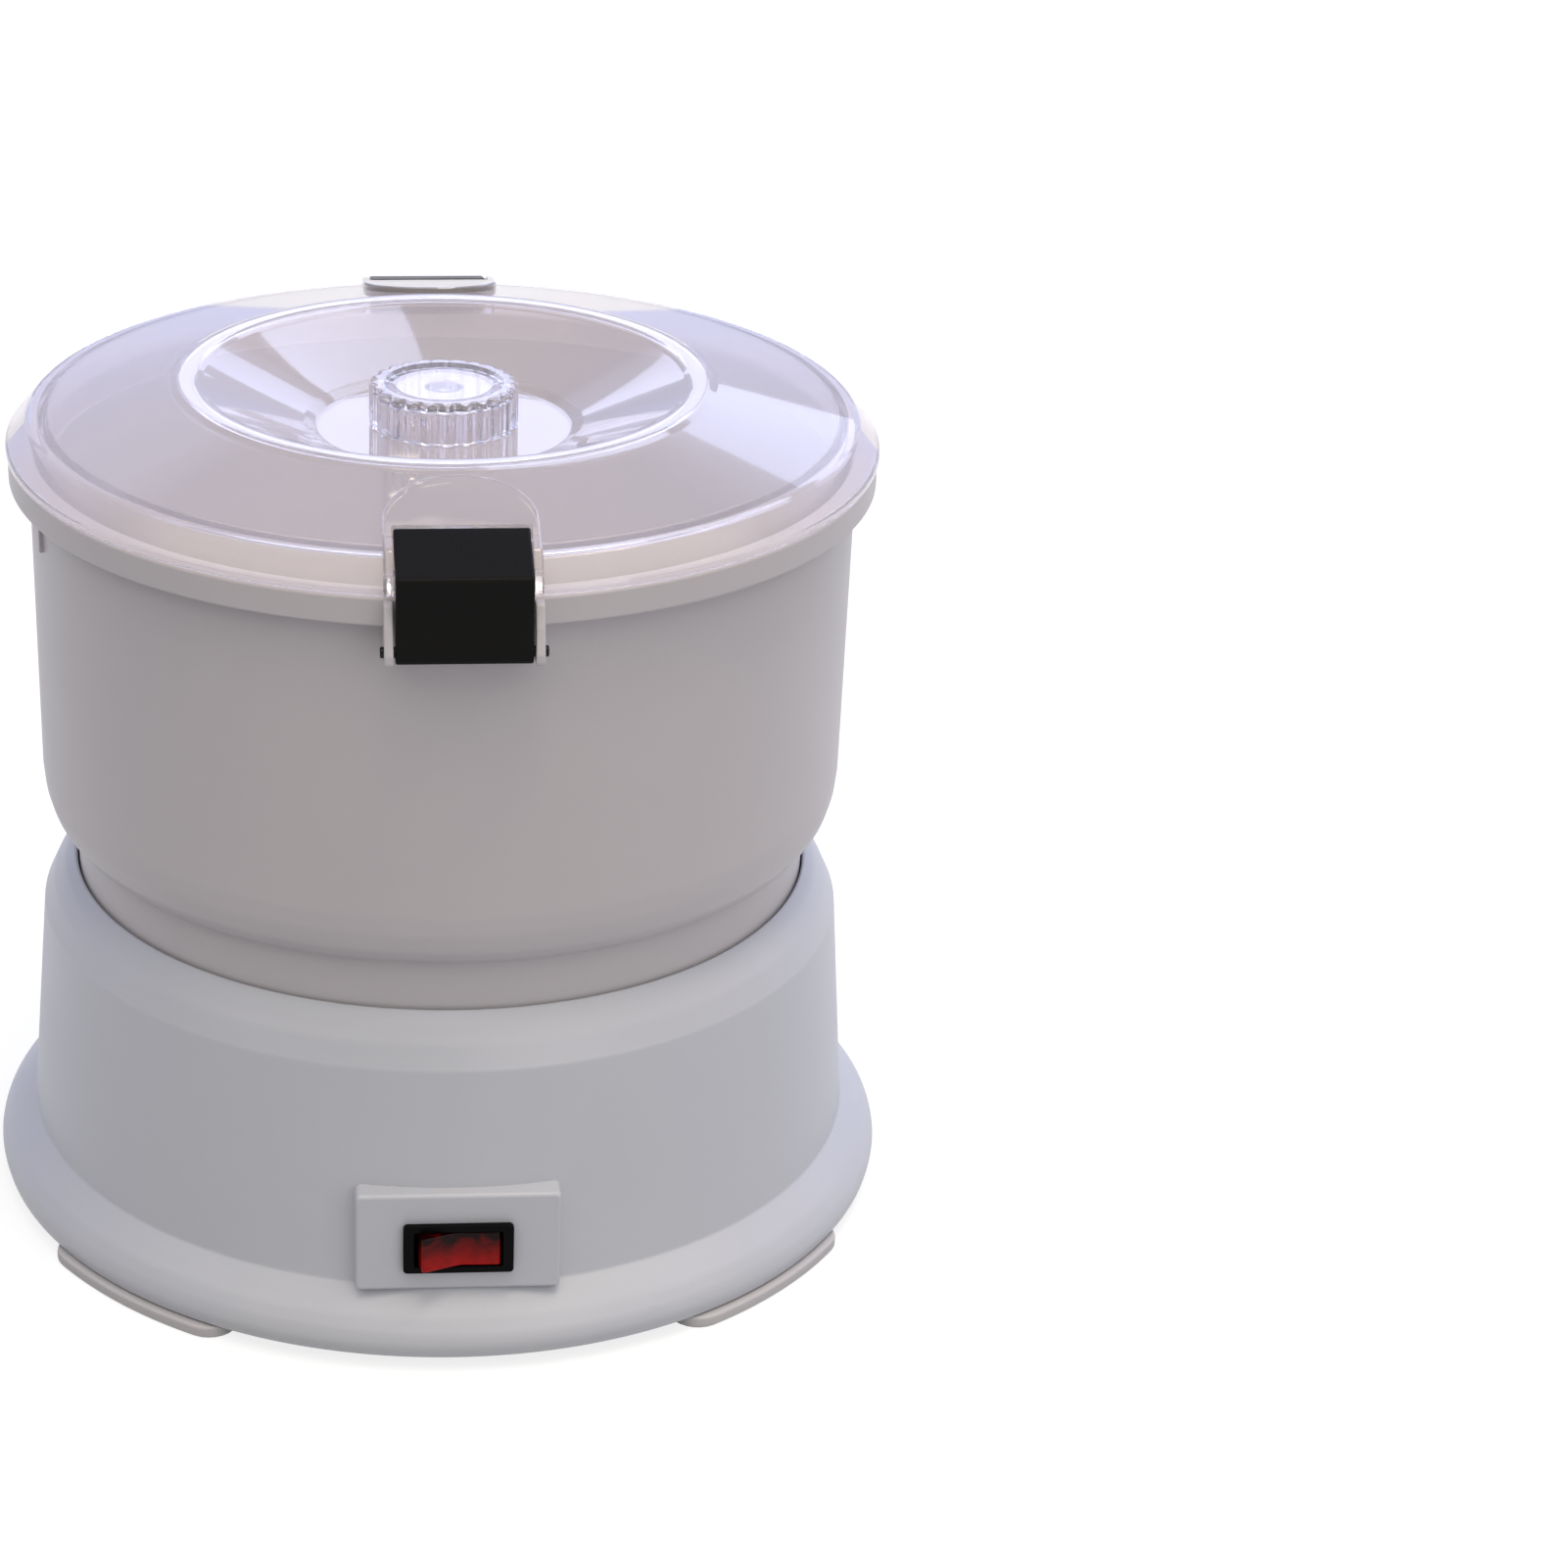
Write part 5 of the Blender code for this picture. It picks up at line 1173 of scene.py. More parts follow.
@dataclass
class Switch:
    """Rocker switch: black bezel and body, and a red lens that rocks in its pocket."""

    bezel_half: Point = (0.0155, 0.0075)
    bezel_corner: float = 0.0012
    bezel_ends: Point = (0.1265, 0.1285)
    body_half: Point = (0.0135, 0.0060)
    body_corner: float = 0.0005
    body_ends: Point = (0.1045, 0.1270)
    pocket_half: Point = (0.0125, 0.0057)
    pocket_corner: float = 0.0006
    pocket_floor: float = 0.1200
    lamp_radius: float = 0.0021
    lamp_end: float = 0.1150
    edge: float = 0.00035
    edge_angle: float = math.radians(50)
    pivot: float = 0.1255
    tilt: float = math.radians(10)
    rocker_half_height: float = 0.0054
    rocker_edge: float = 0.0005
    rocker_outline: tuple[Triple, ...] = (
        (-0.0114, -0.0048, 0.0010), (0.0, -0.0026, 0.0060), (0.0114, -0.0048, 0.0010),
        (0.0114, -0.0005, 0.0005), (0.0050, 0.0030, 0.0008), (-0.0050, 0.0030, 0.0008),
        (-0.0114, -0.0005, 0.0005),
    )

    def case(self) -> None:
        """Builds the bezel with its body and hands it over."""
        floor, front = self.pocket_floor, self.bezel_ends[1] + OVERRUN
        case, body, pocket = (
            front_box(name, half, SWITCH_Z, corner, ends)
            for name, half, corner, ends in (
                ("switch_case", self.bezel_half, self.bezel_corner, self.bezel_ends),
                ("switch_box", self.body_half, self.body_corner, self.body_ends),
                ("switch_pocket", self.pocket_half, self.pocket_corner, (floor, front)),
            )
        )
        lamp = (self.lamp_end, floor + OVERRUN)
        bore = cylinder("lamp_bore", self.lamp_radius, lamp, (0.0, SWITCH_Z), TO_FRONT, Sides.ROD)
        combine(case, Join.ADD, body)
        combine(case, Join.CUT, pocket, bore)
        soften(case, self.edge, self.edge_angle)
        hand_over(case, SWITCH_NYLON, Body.BASE, Slot.DARK_PLASTIC, "switch_body")

    def rocker(self) -> None:
        """Builds the red rocker, pressed in at its right end, and hands it over."""
        low, high = SWITCH_Z - self.rocker_half_height, SWITCH_Z + self.rocker_half_height
        spin = Matrix.Translation((0.0, -self.pivot, 0.0)) @ Matrix.Rotation(self.tilt, 4, "Z")
        lens = prism("rocker_lens", self.rocker_outline, low, high, self.rocker_edge, spin)
        hand_over(lens, ROCKER_LENS, Body.ROCKER, Slot.RED_LENS, "rocker")

    def build(self) -> None:
        """Builds the switch."""
        self.case()
        self.rocker()


@dataclass
class CordInlet:
    """Rubber bush that lines the cord hole at the back, with a groove that holds the wall."""

    section: tuple[Triple, ...] = (
        (0.0080, 0.1166, 0.0004), (0.0035, 0.1166, 0.0004), (0.0035, 0.1298, 0.0005),
        (0.0060, 0.1298, 0.0006), (0.0080, 0.1268, 0.0008), (0.0080, 0.1242, 0.0003),
        (0.0060, 0.1242, 0.0002), (0.0060, 0.1192, 0.0002), (0.0080, 0.1192, 0.0003),
    )
    support: float = 0.0002

    def build(self) -> None:
        """Builds the bush and hands it over."""
        place = Matrix.Translation((0.0, 0.0, INLET_Z)) @ TO_REAR
        bush = turned("cord_bush", self.section, Sides.RING, place, self.support)
        hand_over(bush, BLACK_RUBBER, Body.BASE, Slot.BLACK_RUBBER, "cord_inlet")


@dataclass
class Drive:
    """What stands in the middle of the deck: bearing sleeve, seal, ring and drive head."""

    sleeve: tuple[Corner, ...] = (
        (0.0140, 0.1320, 0.0006), (0.0140, 0.0833), (0.0260, 0.0833, 0.0004),
        (0.0260, 0.0803, 0.0004), (0.0140, 0.0803), (0.0140, 0.0536, 0.0004),
        (0.0113, 0.0536), (0.0113, 0.0612), (0.0090, 0.0612), (0.0090, 0.1185),
        (0.0113, 0.1185), (0.0113, 0.1320, 0.0004),
    )
    bolt_circle: float = 0.0210
    bolt_bore: float = 0.0018
    bolt_ends: Point = (0.0790, 0.0845)
    seal: tuple[Corner, ...] = (
        (0.0110, 0.1317, 0.0003), (0.0110, 0.1261, 0.0003), (0.0059, 0.1261, 0.0002),
        (0.0043, 0.1289, 0.0002), (0.0043, 0.1317, 0.0003), (0.0060, 0.1317, 0.0003),
        (0.0066, 0.1311, 0.0003), (0.0088, 0.1311, 0.0003), (0.0094, 0.1317, 0.0003),
    )
    seal_support: float = 0.0002
    ring_low: Point = (0.0043, 0.1323)
    ring_high: Point = (0.0065, 0.1336)
    ring_corner: float = 0.0002
    ring_support: float = 0.0001
    head_radius: float = 0.0075
    head_low: float = 0.1340
    head_top: float = 0.1520
    head_corner: float = 0.0008
    head_edge: float = 0.0005
    head_bore: float = 0.0043
    head_roof: float = 0.1490

    def build(self) -> None:
        """Builds the four pieces and hands them over."""
        sleeve = turned("sleeve_tube", self.sleeve, Sides.TUBE)
        spot = (0.0, self.bolt_circle)
        bolt = cylinder("bolt_bore", self.bolt_bore, self.bolt_ends, spot, segments=Sides.SCREW)
        combine(sleeve, Join.CUT, ring_of("sleeve_bolts", bolt, WHITE_NYLON, 3))
        hand_over(sleeve, WHITE_NYLON, Body.BASE, Slot.WHITE_NYLON, "bearing_sleeve")
        seal = turned("lip_seal", self.seal, Sides.SEAL, support=self.seal_support)
        hand_over(seal, BLACK_RUBBER, Body.BASE, Slot.BLACK_RUBBER, "shaft_seal")
        section = rectangle(self.ring_low, self.ring_high, self.ring_corner)
        ring = turned("thrust_ring", section, Sides.RING, support=self.ring_support)
        hand_over(ring, SHAFT_STEEL, Body.DRIVE_SHAFT, Slot.STEEL, "retaining_ring")
        corners = hexagon(self.head_radius, self.head_corner)
        head = prism("hex_head", corners, self.head_low, self.head_top, self.head_edge)
        bore = cylinder("head_bore", self.head_bore, (self.head_low - OVERRUN, self.head_roof))
        combine(head, Join.CUT, bore)
        hand_over(head, SHAFT_STEEL, Body.DRIVE_SHAFT, Slot.STEEL, "drive_head")


@dataclass
class Bowl:
    """Moulded bowl: rim with a turned-down lip, wall, round lower edge, floor and foot band."""

    wall: float = 0.0024
    face: tuple[Triple, ...] = (
        (0.1226, 0.2220, 0.0008), (0.1226, 0.2278, 0.0010), (0.1192, 0.2278, 0.0012),
        (0.1184, 0.1340, 0.010), (0.1178, 0.1280, 0.010), (0.1162, 0.1225, 0.008),
        (0.1138, 0.1188, 0.006), (0.1112, 0.1168, 0.002), (0.0152, 0.1168, 0.0006),
        (0.0152, 0.1380, 0.0006),
    )
    band: tuple[Triple, ...] = (
        (0.1087, 0.1168, 0.0006), (0.1087, 0.0923, 0.0008), (0.1063, 0.0923, 0.0008),
        (0.1063, 0.1168, 0.0004),
    )
    band_at: int = 8
    ear: tuple[Corner, ...] = (
        (0.1180, 0.2130), (0.1257, 0.2135, 0.0010), (0.1290, 0.2140, 0.0028),
        (0.1323, 0.2140, 0.0033), (0.1323, 0.2173, 0.0010), (0.1298, 0.2239, 0.0020),
        (0.12665, 0.2296, 0.0014), (0.1180, 0.2296),
    )
    ear_starts: Point = (0.0185, -0.0210)
    ear_thickness: float = 0.0025
    ear_edge: float = 0.0005
    ear_bore: Point = (-0.0225, 0.0225)
    rib_half: float = 0.0008
    rib_low: Point = (0.1180, 0.2091)
    rib_high: Point = (0.1202, 0.2261)
    rib_corner: float = 0.0004
    rib_edge: float = 0.0003
    rib_angle: float = math.radians(73.5)

    def ears(self, side: Side) -> Piece:
        """Makes the two ears that carry one latch.

        Args:
            side: Which latch.

        Returns:
            Both ears as one shape.
        """
        place = side.turn @ SIDEWAYS
        both = together(*(
            prism("latch_ear", self.ear, start, start + self.ear_thickness, self.ear_edge, place)
            for start in self.ear_starts
        ))
        bore = cylinder("ear_bore", PIN_BORE, self.ear_bore, LATCH_PIVOT, place, Sides.ROD)
        return combine(both, Join.CUT, bore)

    def build(self) -> None:
        """Builds the bowl with its ears and the two short ribs under the rim, and hands it over."""
        outer = (*self.face[:self.band_at], *self.band, *self.face[self.band_at:])
        inner = moved_right(self.face, self.wall)
        bowl = turned("bowl_shell", (*outer, *reversed(inner)), Sides.SHELL)
        outline = rectangle(self.rib_low, self.rib_high, self.rib_corner)
        rib = prism("rim_rib", outline, -self.rib_half, self.rib_half, self.rib_edge, SIDEWAYS)
        ribs = ring_of("rim_ribs", rib, BOWL_ABS, 2, -self.rib_angle)
        combine(bowl, Join.ADD, *map(self.ears, Side), ribs)
        hand_over(bowl, BOWL_ABS, Body.BOWL, Slot.GREY_PLASTIC, "bowl")


@dataclass
class WallBlades:
    """Three upright stainless strips in the bowl, each with a row of raised teeth."""

    half_width: float = 0.0060
    front: float = 0.1146
    back: float = 0.1156
    low: float = 0.1490
    height: float = 0.0600
    corner: float = 0.0010
    edge: float = 0.0002
    count: int = 5
    tooth_height: float = 0.0025
    tooth_half: float = 0.0045
    tooth_tip: float = 0.0004
    tooth_edge: float = 0.0003
    start: float = math.radians(3.75)

    def build(self) -> None:
        """Builds one blade, repeats it and hands the three over."""
        ends = (-self.half_width, self.low), (self.half_width, self.low + self.height)
        outline = rectangle(*ends, self.corner)
        strip = prism("blade_strip", outline, self.front, self.back, self.edge, TO_REAR)
        pitch = self.height / self.count
        root = self.low + pitch / 4
        middle = (self.front + self.back) / 2
        peak = (self.front - self.tooth_height, root + pitch / 4, self.tooth_tip)
        outline = ((middle, root), peak, (middle, root + pitch / 2))
        half = self.tooth_half
        tooth = prism("blade_tooth", outline, -half, half, self.tooth_edge, SIDEWAYS)
        blades = blades_of("wall_peeling_blades", strip, tooth, self.count, pitch, "Z", self.start)
        hand_over(blades, BLADE_STEEL, Body.BOWL, Slot.STEEL, *numbered("wall_blade", 3))


@dataclass
class Turntable:
    """Moulded disc with its hub and three wave-shaped ridges, and three grating strips."""

    hub: tuple[Corner, ...] = (
        (0.0, 0.1570), (0.0115, 0.1570, 0.0010), (0.0130, 0.1555, 0.0010),
        (0.0220, 0.1405, 0.0040), (0.0240, 0.1290, 0.0030), (0.1119, 0.1290, 0.0009),
        (0.1119, 0.1260, 0.0009), (0.0190, 0.1260, 0.0004), (0.0190, 0.1405, 0.0004),
        (0.0, 0.1405),
    )
    socket_radius: float = 0.0079
    socket_low: float = 0.1395
    socket_roof: float = 0.1523
    ridge_start: float = 0.0300
    ridge_end: float = 0.0999
    ridge_half: float = 0.0130
    ridge_height: float = 0.0080
    ridge_round: float = 0.0060
    ridge_edge: float = 0.0005
    face_z: float = 0.1290
    root_z: float = 0.1275
    shares: tuple[Point, ...] = (
        (-1.0, 0.0), (-0.72, 0.30), (-0.40, 0.85), (0.0, 1.0), (0.40, 0.85), (0.72, 0.30), (1.0, 0.0)
    )
    strip_half: float = 0.0050
    strip_low: float = 0.1293
    strip_top: float = 0.1305
    strip_start: float = 0.0380
    strip_end: float = 0.0960
    strip_corner: float = 0.0012
    strip_edge: float = 0.0002
    strip_turn: float = math.radians(60)
    tooth_count: int = 7
    tooth_half: float = 0.0035
    tooth_rise: float = 0.0010
    tooth_root: float = 0.0004
    tooth_tip: float = 0.0003

    def disc(self) -> None:
        """Builds the disc with its ridges and hands it over."""
        half, high = self.ridge_half, self.ridge_height
        wave = [(half * x, self.face_z + high * z, self.ridge_round) for x, z in self.shares]
        outline = (*wave, (half, self.root_z), (-half, self.root_z))
        ridge = prism("disc_ridge", outline, self.ridge_start, self.ridge_end, self.ridge_edge, TO_REAR)
        disc = turned("ridged_disc", self.hub, Sides.DISC)
        combine(disc, Join.ADD, ring_of("disc_ridges", ridge, DISC_ABS, 3))
        corners = hexagon(self.socket_radius, 0.0)
        combine(disc, Join.CUT, prism("hex_socket", corners, self.socket_low, self.socket_roof))
        hand_over(disc, DISC_ABS, Body.TURNTABLE, Slot.GREY_PLASTIC, "turntable")

    def strips(self) -> None:
        """Builds the three grating strips with raised teeth and hands them over."""
        ends = (-self.strip_half, self.strip_start), (self.strip_half, self.strip_end)
        outline = rectangle(*ends, self.strip_corner)
        strip = prism("grating_strip", outline, self.strip_low, self.strip_top, self.strip_edge)
        pitch = (self.strip_end - self.strip_start) / self.tooth_count
        root, tip = self.strip_start + pitch / 3, self.strip_start + pitch / 3 * 2
        low, top = self.strip_top - self.tooth_root, self.strip_top + self.tooth_rise
        outline = ((root, low), (tip, low), (tip, top, self.tooth_tip))
        half = self.tooth_half
        tooth = prism("grating_tooth", outline, -half, half, self.strip_edge, SIDEWAYS)
        strips = blades_of(
            "disc_grating_strips", strip, tooth, self.tooth_count, pitch, "Y", self.strip_turn
        )
        hand_over(strips, BLADE_STEEL, Body.TURNTABLE, Slot.STEEL, *numbered("disc_blade", 3))

    def build(self) -> None:
        """Builds the turntable."""
        self.disc()
        self.strips()


@dataclass
class Latch:
    """One black latch: a hook over the lid, a bend, a steep face and a barrel on its pin."""

    side: Side
    outline: tuple[Triple, ...] = (
        (0.1085, 0.2442, 0.0008), (0.1312, 0.2382, 0.0016), (0.1306, 0.2279, 0.0030),
        (0.1320, 0.2190, 0.0020), (0.1320, 0.2143, 0.0030), (0.1273, 0.2143, 0.0016),
        (0.1273, 0.2330, 0.0010), (0.1231, 0.2364, 0.0020), (0.1085, 0.2406, 0.0005),
    )
    half_width: float = 0.0180
    edge: float = 0.0006
    support: float = 0.0005
    pin_radius: float = 0.0015
    pin_end: float = 0.0220
    pin_edge: float = 0.0003
    pin_support: float = 0.0002

    def build(self) -> None:
        """Builds the latch and its pin and hands them over."""
        side, half, end = self.side, self.half_width, self.pin_end
        place = side.turn @ SIDEWAYS
        outline = supported(rounded(self.outline), self.support)
        latch = prism(side.latch + "_moulding", outline, -half, half, self.edge, place)
        reach = (-half - OVERRUN, half + OVERRUN)
        bore = cylinder("latch_bore", PIN_BORE, reach, LATCH_PIVOT, place, Sides.ROD)
        combine(latch, Join.CUT, bore)
        hand_over(latch, LATCH_ABS, Body(side.latch), Slot.BLACK_LATCH, side.latch)
        radius, edge = self.pin_radius, self.pin_edge
        section = ((0.0, -end), (radius, -end, edge), (radius, end, edge), (0.0, end))
        axis = place @ Matrix.Translation((*LATCH_PIVOT, 0.0))
        pin = turned(side.pin + "_rod", section, Sides.ROD, axis, self.pin_support)
        hand_over(pin, PIN_STEEL, Body.BOWL, Slot.STEEL, side.pin)


@dataclass
class Lid:
    """Clear lid: dished middle, raised ring, wide cone, edge band, and two latch bosses."""

    wall: float = 0.0022
    face: tuple[Triple, ...] = (
        (0.0018, 0.2345, 0.0003), (0.0370, 0.2345, 0.0016), (0.0400, 0.2365, 0.0016),
        (0.0691, 0.2485, 0.0030), (0.0712, 0.2496, 0.0030), (0.0757, 0.2497, 0.0040),
        (0.0785, 0.2486, 0.0030), (0.1190, 0.2400, 0.0030), (0.1256, 0.2325, 0.0012),
        (0.1256, 0.2305, 0.0006),
    )
    skirt_at: int = 7
    skirt_inner: float = 0.1133
    skirt_outer: float = 0.1155
    skirt_low: float = 0.2225
    skirt_round: float = 0.0006
    skirt_root: float = 0.0005
    cone_end: Point = (0.1190, 0.2400)
    # Fall of the cone over its run.
    cone_slope: float = 0.0088 / 0.0415
    boss_half: float = 0.0208
    boss_rise: float = 0.0018
    boss_sink: float = 0.0011
    boss_inner: float = 0.0760
    boss_shoulder: float = 0.1185
    boss_edge: Point = (0.1248, 0.2325)
    boss_low: float = 0.2308
    boss_foot: float = 0.1112
    boss_root: float = 0.1073
    boss_root_sink: float = 0.0044
    block_half: float = 0.0230
    arch_hub: float = 0.1034
    arch_end: float = 0.1266
    arch_low: float = 0.2290
    arch_edge: float = 0.0009
    arch_edge_angle: float = math.radians(30)
    arch_steps: int = 24
    pocket_half: float = 0.0185
    pocket_inner: Point = (0.1073, 0.2404)
    pocket_outer: Point = (0.1266, 0.2311)
    pocket_round: float = 0.0008
    pocket_edge: float = 0.0006
    screw_length: float = 0.0070
    screw_root: float = 0.2320

    def cone_z(self, radius: float) -> float:
        """Height of the cone's upper face, drawn on past both of its ends."""
        return self.cone_end[1] + (self.cone_end[0] - radius) * self.cone_slope

    def shell(self) -> Piece:
        """Turns the lid's wall with its inner skirt.

        Returns:
            The lid without its bosses.
        """
        inner = moved_right(self.face, self.wall)
        drop = self.wall * math.hypot(1.0, self.cone_slope)
        near, far, low = self.skirt_inner, self.skirt_outer, self.skirt_low
        corners = (near, self.cone_z(near) - drop), (near, low), (far, low)
        skirt = [(*corner, self.skirt_round) for corner in corners]
        skirt.append((far, self.cone_z(far) - drop, self.skirt_root))
        under = (*inner[:self.skirt_at], *skirt, *inner[self.skirt_at:])
        return turned("lid_shell", (*self.face, *reversed(under)), Sides.SHELL)

    def boss(self, side: Side) -> Piece:
        """Makes the raised arch that one latch hooks over.

        Args:
            side: Which latch.

        Returns:
            The boss before its pocket is cut.
        """
        outline = [
            (radius, self.cone_z(radius) + rise)
            for radius, rise in (
                (self.boss_root, -self.boss_root_sink), (self.boss_inner, -self.boss_sink),
                (self.boss_inner, self.boss_rise), (self.boss_shoulder, self.boss_rise),
            )
        ]
        edge, top = self.boss_edge
        outline += [(edge, top + self.boss_rise), (edge, self.boss_low), (self.boss_foot, self.boss_low)]
        half = self.block_half
        block = prism("boss_block", outline, -half, half, place=side.turn @ SIDEWAYS)
        half = self.boss_half
        arch = [(half, self.arch_end), (-half, self.arch_end)]
        for step in range(self.arch_steps + 1):
            x, y = polar(half, math.pi + math.pi * step / self.arch_steps)
            arch.append((x, self.arch_hub + y))
        combine(block, Join.KEEP, prism("boss_arch", arch, self.arch_low, CLEAR_Z, place=side.turn))
        return soften(block, self.arch_edge, self.arch_edge_angle)

    def pocket(self, side: Side) -> Piece:
        """Makes the hollow in a boss that the latch's hook lies in.

        Args:
            side: Which latch.

        Returns:
            The cutter.
        """
        inner, outer, half = self.pocket_inner, self.pocket_outer, self.pocket_half
        outline = ((*inner, self.pocket_round), outer, (outer[0], CLEAR_Z), (inner[0], CLEAR_Z))
        return prism("latch_pocket", outline, -half, half, self.pocket_edge, side.turn @ SIDEWAYS)

    def build(self) -> None:
        """Builds the lid and the screw in its middle, and hands them over."""
        lid = combine(self.shell(), Join.ADD, *map(self.boss, Side))
        combine(lid, Join.CUT, *map(self.pocket, Side))
        hand_over(lid, LID_STYRENE, Body.LID, Slot.CLEAR_PLASTIC, "lid")
        screw = ScrewBlank(self.screw_length, self.screw_root).make("knob_fixing_screw")
        hand_over(screw, SCREW_STEEL, Body.LID, Slot.STEEL, "knob_screw")


@dataclass
class Knob:
    """Clear scalloped knob, hollow underneath, with a post for its screw."""

    section: tuple[Corner, ...] = (
        (0.0018, 0.2348), (0.0018, 0.2403, 0.0004), (0.0, 0.2403), (0.0, 0.2464),
        (0.0140, 0.2464, 0.0030), (0.0172, 0.2473, 0.0012), (0.0208, 0.2473, 0.0014),
        (0.0208, 0.2348, 0.0004), (0.0178, 0.2348, 0.0004), (0.0178, 0.2443, 0.0012),
        (0.0045, 0.2443, 0.0012), (0.0045, 0.2348, 0.0003),
    )
    support: float = 0.0003
    scallops: int = 24
    sides_each: int = 10
    depth: float = 0.0007
    fade_start: float = 0.0182
    fade_end: float = 0.0200

    def build(self) -> None:
        """Turns the blank, pushes its scallops out and hands the knob over."""
        sides = self.scallops * self.sides_each
        blank = turned("knob_blank", self.section, sides, support=self.support)
        recipe = Recipe("scalloped_grip", {
            "Scallops": self.scallops, "Depth": self.depth,
            "Fade start": self.fade_start, "Fade end": self.fade_end,
        })
        node, sizes = recipe.node, recipe.sizes
        place = node("GeometryNodeInputPosition")
        parts = node("ShaderNodeSeparateXYZ", {0: place}).outputs
        angle = node("ShaderNodeMath", {0: parts["Y"], 1: parts["X"]}, operation="ARCTAN2")
        phase = node("ShaderNodeMath", {0: angle, 1: sizes["Scallops"]}, operation="MULTIPLY")
        wave = node("ShaderNodeMath", {0: phase}, operation="COSINE")
        flat = node("ShaderNodeVectorMath", {0: place, 1: (1.0, 1.0, 0.0)}, operation="MULTIPLY")
        radius = node("ShaderNodeVectorMath", {0: flat}, operation="LENGTH")
        outward = node("ShaderNodeVectorMath", {0: flat}, operation="NORMALIZE")
        fade = node("ShaderNodeMapRange", {
            "Value": radius, "From Min": sizes["Fade start"], "From Max": sizes["Fade end"]
        })
        faded = node("ShaderNodeMath", {0: wave, 1: fade}, operation="MULTIPLY")
        push = node("ShaderNodeMath", {0: faded, 1: sizes["Depth"]}, operation="MULTIPLY")
        offset = node("ShaderNodeVectorMath", {0: outward, "Scale": push}, operation="SCALE")
        shape = node("GeometryNodeObjectInfo", {"Object": blank}).outputs["Geometry"]
        moved = node("GeometryNodeSetPosition", {"Geometry": shape, "Offset": offset})
        knob = recipe.make(moved, KNOB_STYRENE, blank)
        hand_over(knob, KNOB_STYRENE, Body.LID, Slot.CLEAR_PLASTIC, "lid_knob")


@dataclass
class Inside:
    """Screws under the base, and finishes for the CAD nodes that stay as they are."""

    screw_circle: float = 0.1040
    screw_root: float = 0.0052
    screw_length: float = 0.0150
    kept: tuple[tuple[Finish, tuple[str, ...]], ...] = (
        (DARK_PP, ("bottom_plate", "motor_end_cap", "run_capacitor")),
        (WHITE_NYLON, ("large_pulley", "small_pulley", "terminal_block")),
        (BLACK_RUBBER, ("drive_belt",)),
        (CLEAR_LAMP, ("indicator_lamp",)),
        (BRONZE, ("live_terminal", "switched_terminal", "motor_lower_bush", "motor_upper_bush")),
        (SCREW_STEEL, ("sleeve_screw_1", "sleeve_screw_2", "sleeve_screw_3", "pulley_nut")),
        (SCREW_STEEL, ("motor_screw_1", "motor_screw_2")),
        (SHAFT_STEEL, ("lower_bearing", "upper_bearing", "drive_shaft")),
        (CASE_STEEL, ("motor_case", "motor_rotor", "motor_bracket")),
        (COPPER_WIRE, ("motor_stator",)),
        (BROWN_PVC, ("live_lead", "switched_lead")),
        (BLUE_PVC, ("neutral_lead",)),
    )

    def build(self) -> None:
        """Builds the four screws and dresses the nodes that stay."""
        blank = ScrewBlank(self.screw_length, self.screw_root, (self.screw_circle, 0.0))
        ring = ring_of("bottom_screws", blank.make("screw"), SCREW_STEEL, 4, DIAGONAL)
        hand_over(ring, SCREW_STEEL, Body.BASE, Slot.STEEL, *numbered("bottom_screw", 4))
        for finish, names in self.kept:
            for name in names:
                node = bpy.data.objects[name]
                for part in (node, *node.children_recursive):
                    for slot in part.material_slots:
                        slot.material = finish.material()
                LOG.info("%s keeps its CAD shape in %s", name, finish.name)


@dataclass(frozen=True)
class SoftLight:
    """One lamp with a soft square face. Its glow is the brightness of that face."""

    name: str
    place: Triple
    size: Point
    glow: float
    colour: str
    aim: Triple = (0.0, 0.0, 0.14)

    def build(self) -> None:
        """Puts the lamp in the scene."""
        data = bpy.data.lights.new(self.name, "AREA")
        data.shape = "RECTANGLE"
        data.size, data.size_y = self.size
        data.energy = self.glow * math.pi * self.size[0] * self.size[1]
        data.color = srgb(self.colour)[:3]
        lamp = bpy.data.objects.new(self.name, data)
        lamp.location = self.place
        way = Vector(self.aim) - Vector(self.place)
        lamp.rotation_euler = way.to_track_quat("-Z", "Y").to_euler()
        lamp.visible_camera = False
        bpy.context.scene.collection.objects.link(lamp)


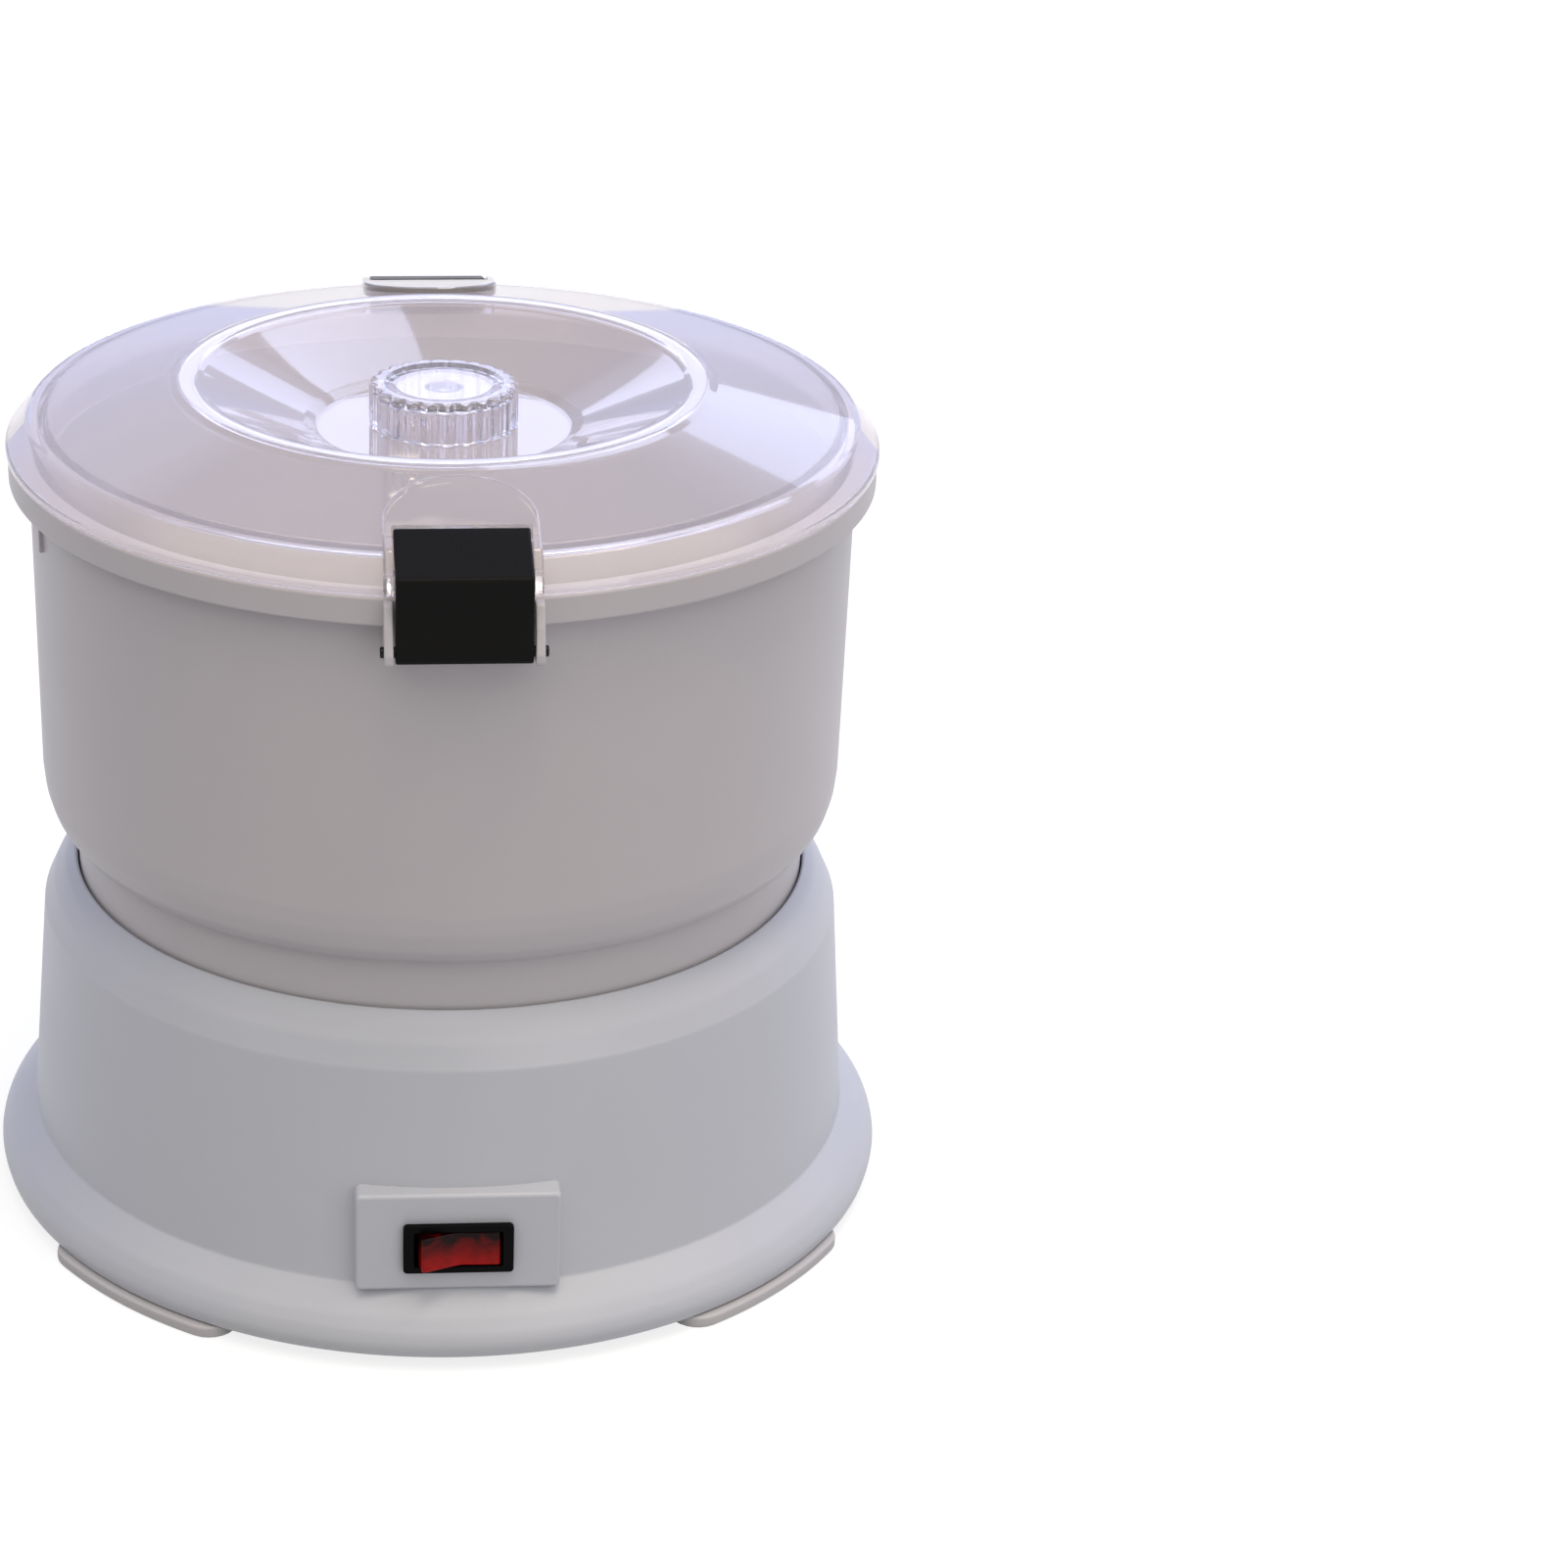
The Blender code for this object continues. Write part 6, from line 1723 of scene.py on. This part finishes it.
@dataclass
class Studio:
    """Pale floor, soft light from all round, and the camera at the photograph's angle."""

    floor_half: float = 6.0
    floor_z: float = -0.00005
    # The brightness of the surround in front and behind, low down and high up.
    low_levels: Point = (0.30, 0.98)
    high_levels: Point = (1.25, 0.60)
    front_tint: str = "#fffaf5"
    rear_tint: str = "#ccd4ff"
    height_edge: Point = (0.52, 0.59)
    depth_edge: Point = (-0.10, 0.45)
    target: Triple = (0.0, 0.0, 0.129)
    distance: float = 1.15
    azimuth: float = math.radians(-2.6)
    elevation: float = math.radians(24.32)
    turns: tuple[tuple[float, str], ...] = (
        (math.radians(-1.141), "Y"), (math.radians(-0.394), "X"), (math.radians(0.412), "Z")
    )
    sensor: float = 36.0
    # Focal length over the width of the photograph, both in its pixels.
    focal_share: float = 3915 / 1601
    shift: float = 0.17
    lamps: tuple[SoftLight, ...] = (
        SoftLight("overhead_right_rear", (0.78, 0.99, 1.80), (0.96, 1.0), 2.8, "#d2daff"),
        SoftLight("low_right_rear", (0.98, 1.58, 1.06), (1.20, 0.49), 1.7, "#ccd6ff"),
        SoftLight("low_rear", (0.02, 1.86, 1.06), (0.80, 0.50), 1.8, "#d6dcff"),
        SoftLight("overhead_strip", (0.35, -0.30, 2.10), (1.6, 0.36), 7.6, "#fff0e2"),
        SoftLight("right_front_fill", (0.85, -1.70, 0.70), (1.2, 0.9), 1.65, "#f4f4fa"),
    )

    def floor(self) -> None:
        """Makes the floor."""
        half = self.floor_half
        corners = rectangle((-half, -half), (half, half), 0.0)
        mesh = bpy.data.meshes.new("studio_floor")
        mesh.from_pydata([(x, y, self.floor_z) for x, y, _ in corners], [], [(0, 1, 2, 3)])
        mesh.materials.append(STUDIO_PAPER.material())
        floor = bpy.data.objects.new("studio_floor", mesh)
        bpy.context.scene.collection.objects.link(floor)

    def sky(self) -> None:
        """Makes the world: bright low down behind and high up in front, plain white to the eye."""
        world = bpy.data.worlds.new("studio_surround")
        world.use_nodes = True
        world.node_tree.nodes.clear()
        node = partial(add_node, world.node_tree)
        way = node("ShaderNodeTexCoord").outputs["Generated"]
        parts = node("ShaderNodeSeparateXYZ", {0: way}).outputs
        depth, height = (
            node(
                "ShaderNodeMapRange", {"Value": parts[axis], "From Min": start, "From Max": end},
                interpolation_type="SMOOTHSTEP",
            )
            for axis, (start, end) in (("Y", self.depth_edge), ("Z", self.height_edge))
        )
        low, high = (
            node("ShaderNodeMix", {0: depth, 2: front, 3: rear})
            for front, rear in (self.low_levels, self.high_levels)
        )
        level = node("ShaderNodeMix", {0: height, 2: low, 3: high})
        tints = {0: depth, 6: srgb(self.front_tint), 7: srgb(self.rear_tint)}
        tint = node("ShaderNodeMix", tints, data_type="RGBA")
        light = node("ShaderNodeBackground", {"Color": tint, "Strength": level})
        white = node("ShaderNodeBackground", {"Color": (1.0, 1.0, 1.0, 1.0)})
        eye = node("ShaderNodeLightPath").outputs["Is Camera Ray"]
        seen = node("ShaderNodeMixShader", {0: eye, 1: light, 2: white})
        node("ShaderNodeOutputWorld", {"Surface": seen})
        bpy.context.scene.world = world

    def camera(self) -> None:
        """Puts the camera where the photograph was taken from."""
        x, y = polar(math.cos(self.elevation), self.azimuth - math.pi / 2)
        way = Vector((x, y, math.sin(self.elevation)))
        aim = (-way).to_track_quat("-Z", "Y").to_matrix().to_4x4()
        for angle, axis in self.turns:
            aim = aim @ Matrix.Rotation(angle, 4, axis)
        data = bpy.data.cameras.new("studio_camera")
        data.sensor_width = self.sensor
        data.lens = self.focal_share * self.sensor
        data.shift_x = self.shift
        camera = bpy.data.objects.new("studio_camera", data)
        camera.matrix_world = Matrix.Translation(Vector(self.target) + way * self.distance) @ aim
        bpy.context.scene.collection.objects.link(camera)
        bpy.context.scene.camera = camera

    def build(self) -> None:
        """Builds the studio."""
        bpy.context.scene.view_settings.view_transform = "Standard"
        self.floor()
        self.sky()
        for lamp in self.lamps:
            lamp.build()
        self.camera()


def main() -> None:
    """Builds every sub-assembly in order."""
    logging.basicConfig(level=logging.INFO, format="%(message)s")
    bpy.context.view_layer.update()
    for part in (
        Studio(), BaseHousing(), Feet(), Switch(), CordInlet(), Drive(), Bowl(), WallBlades(),
        Turntable(), *map(Latch, Side), Lid(), Knob(), Inside(),
    ):
        part.build()


if __name__ == "__main__":
    main()
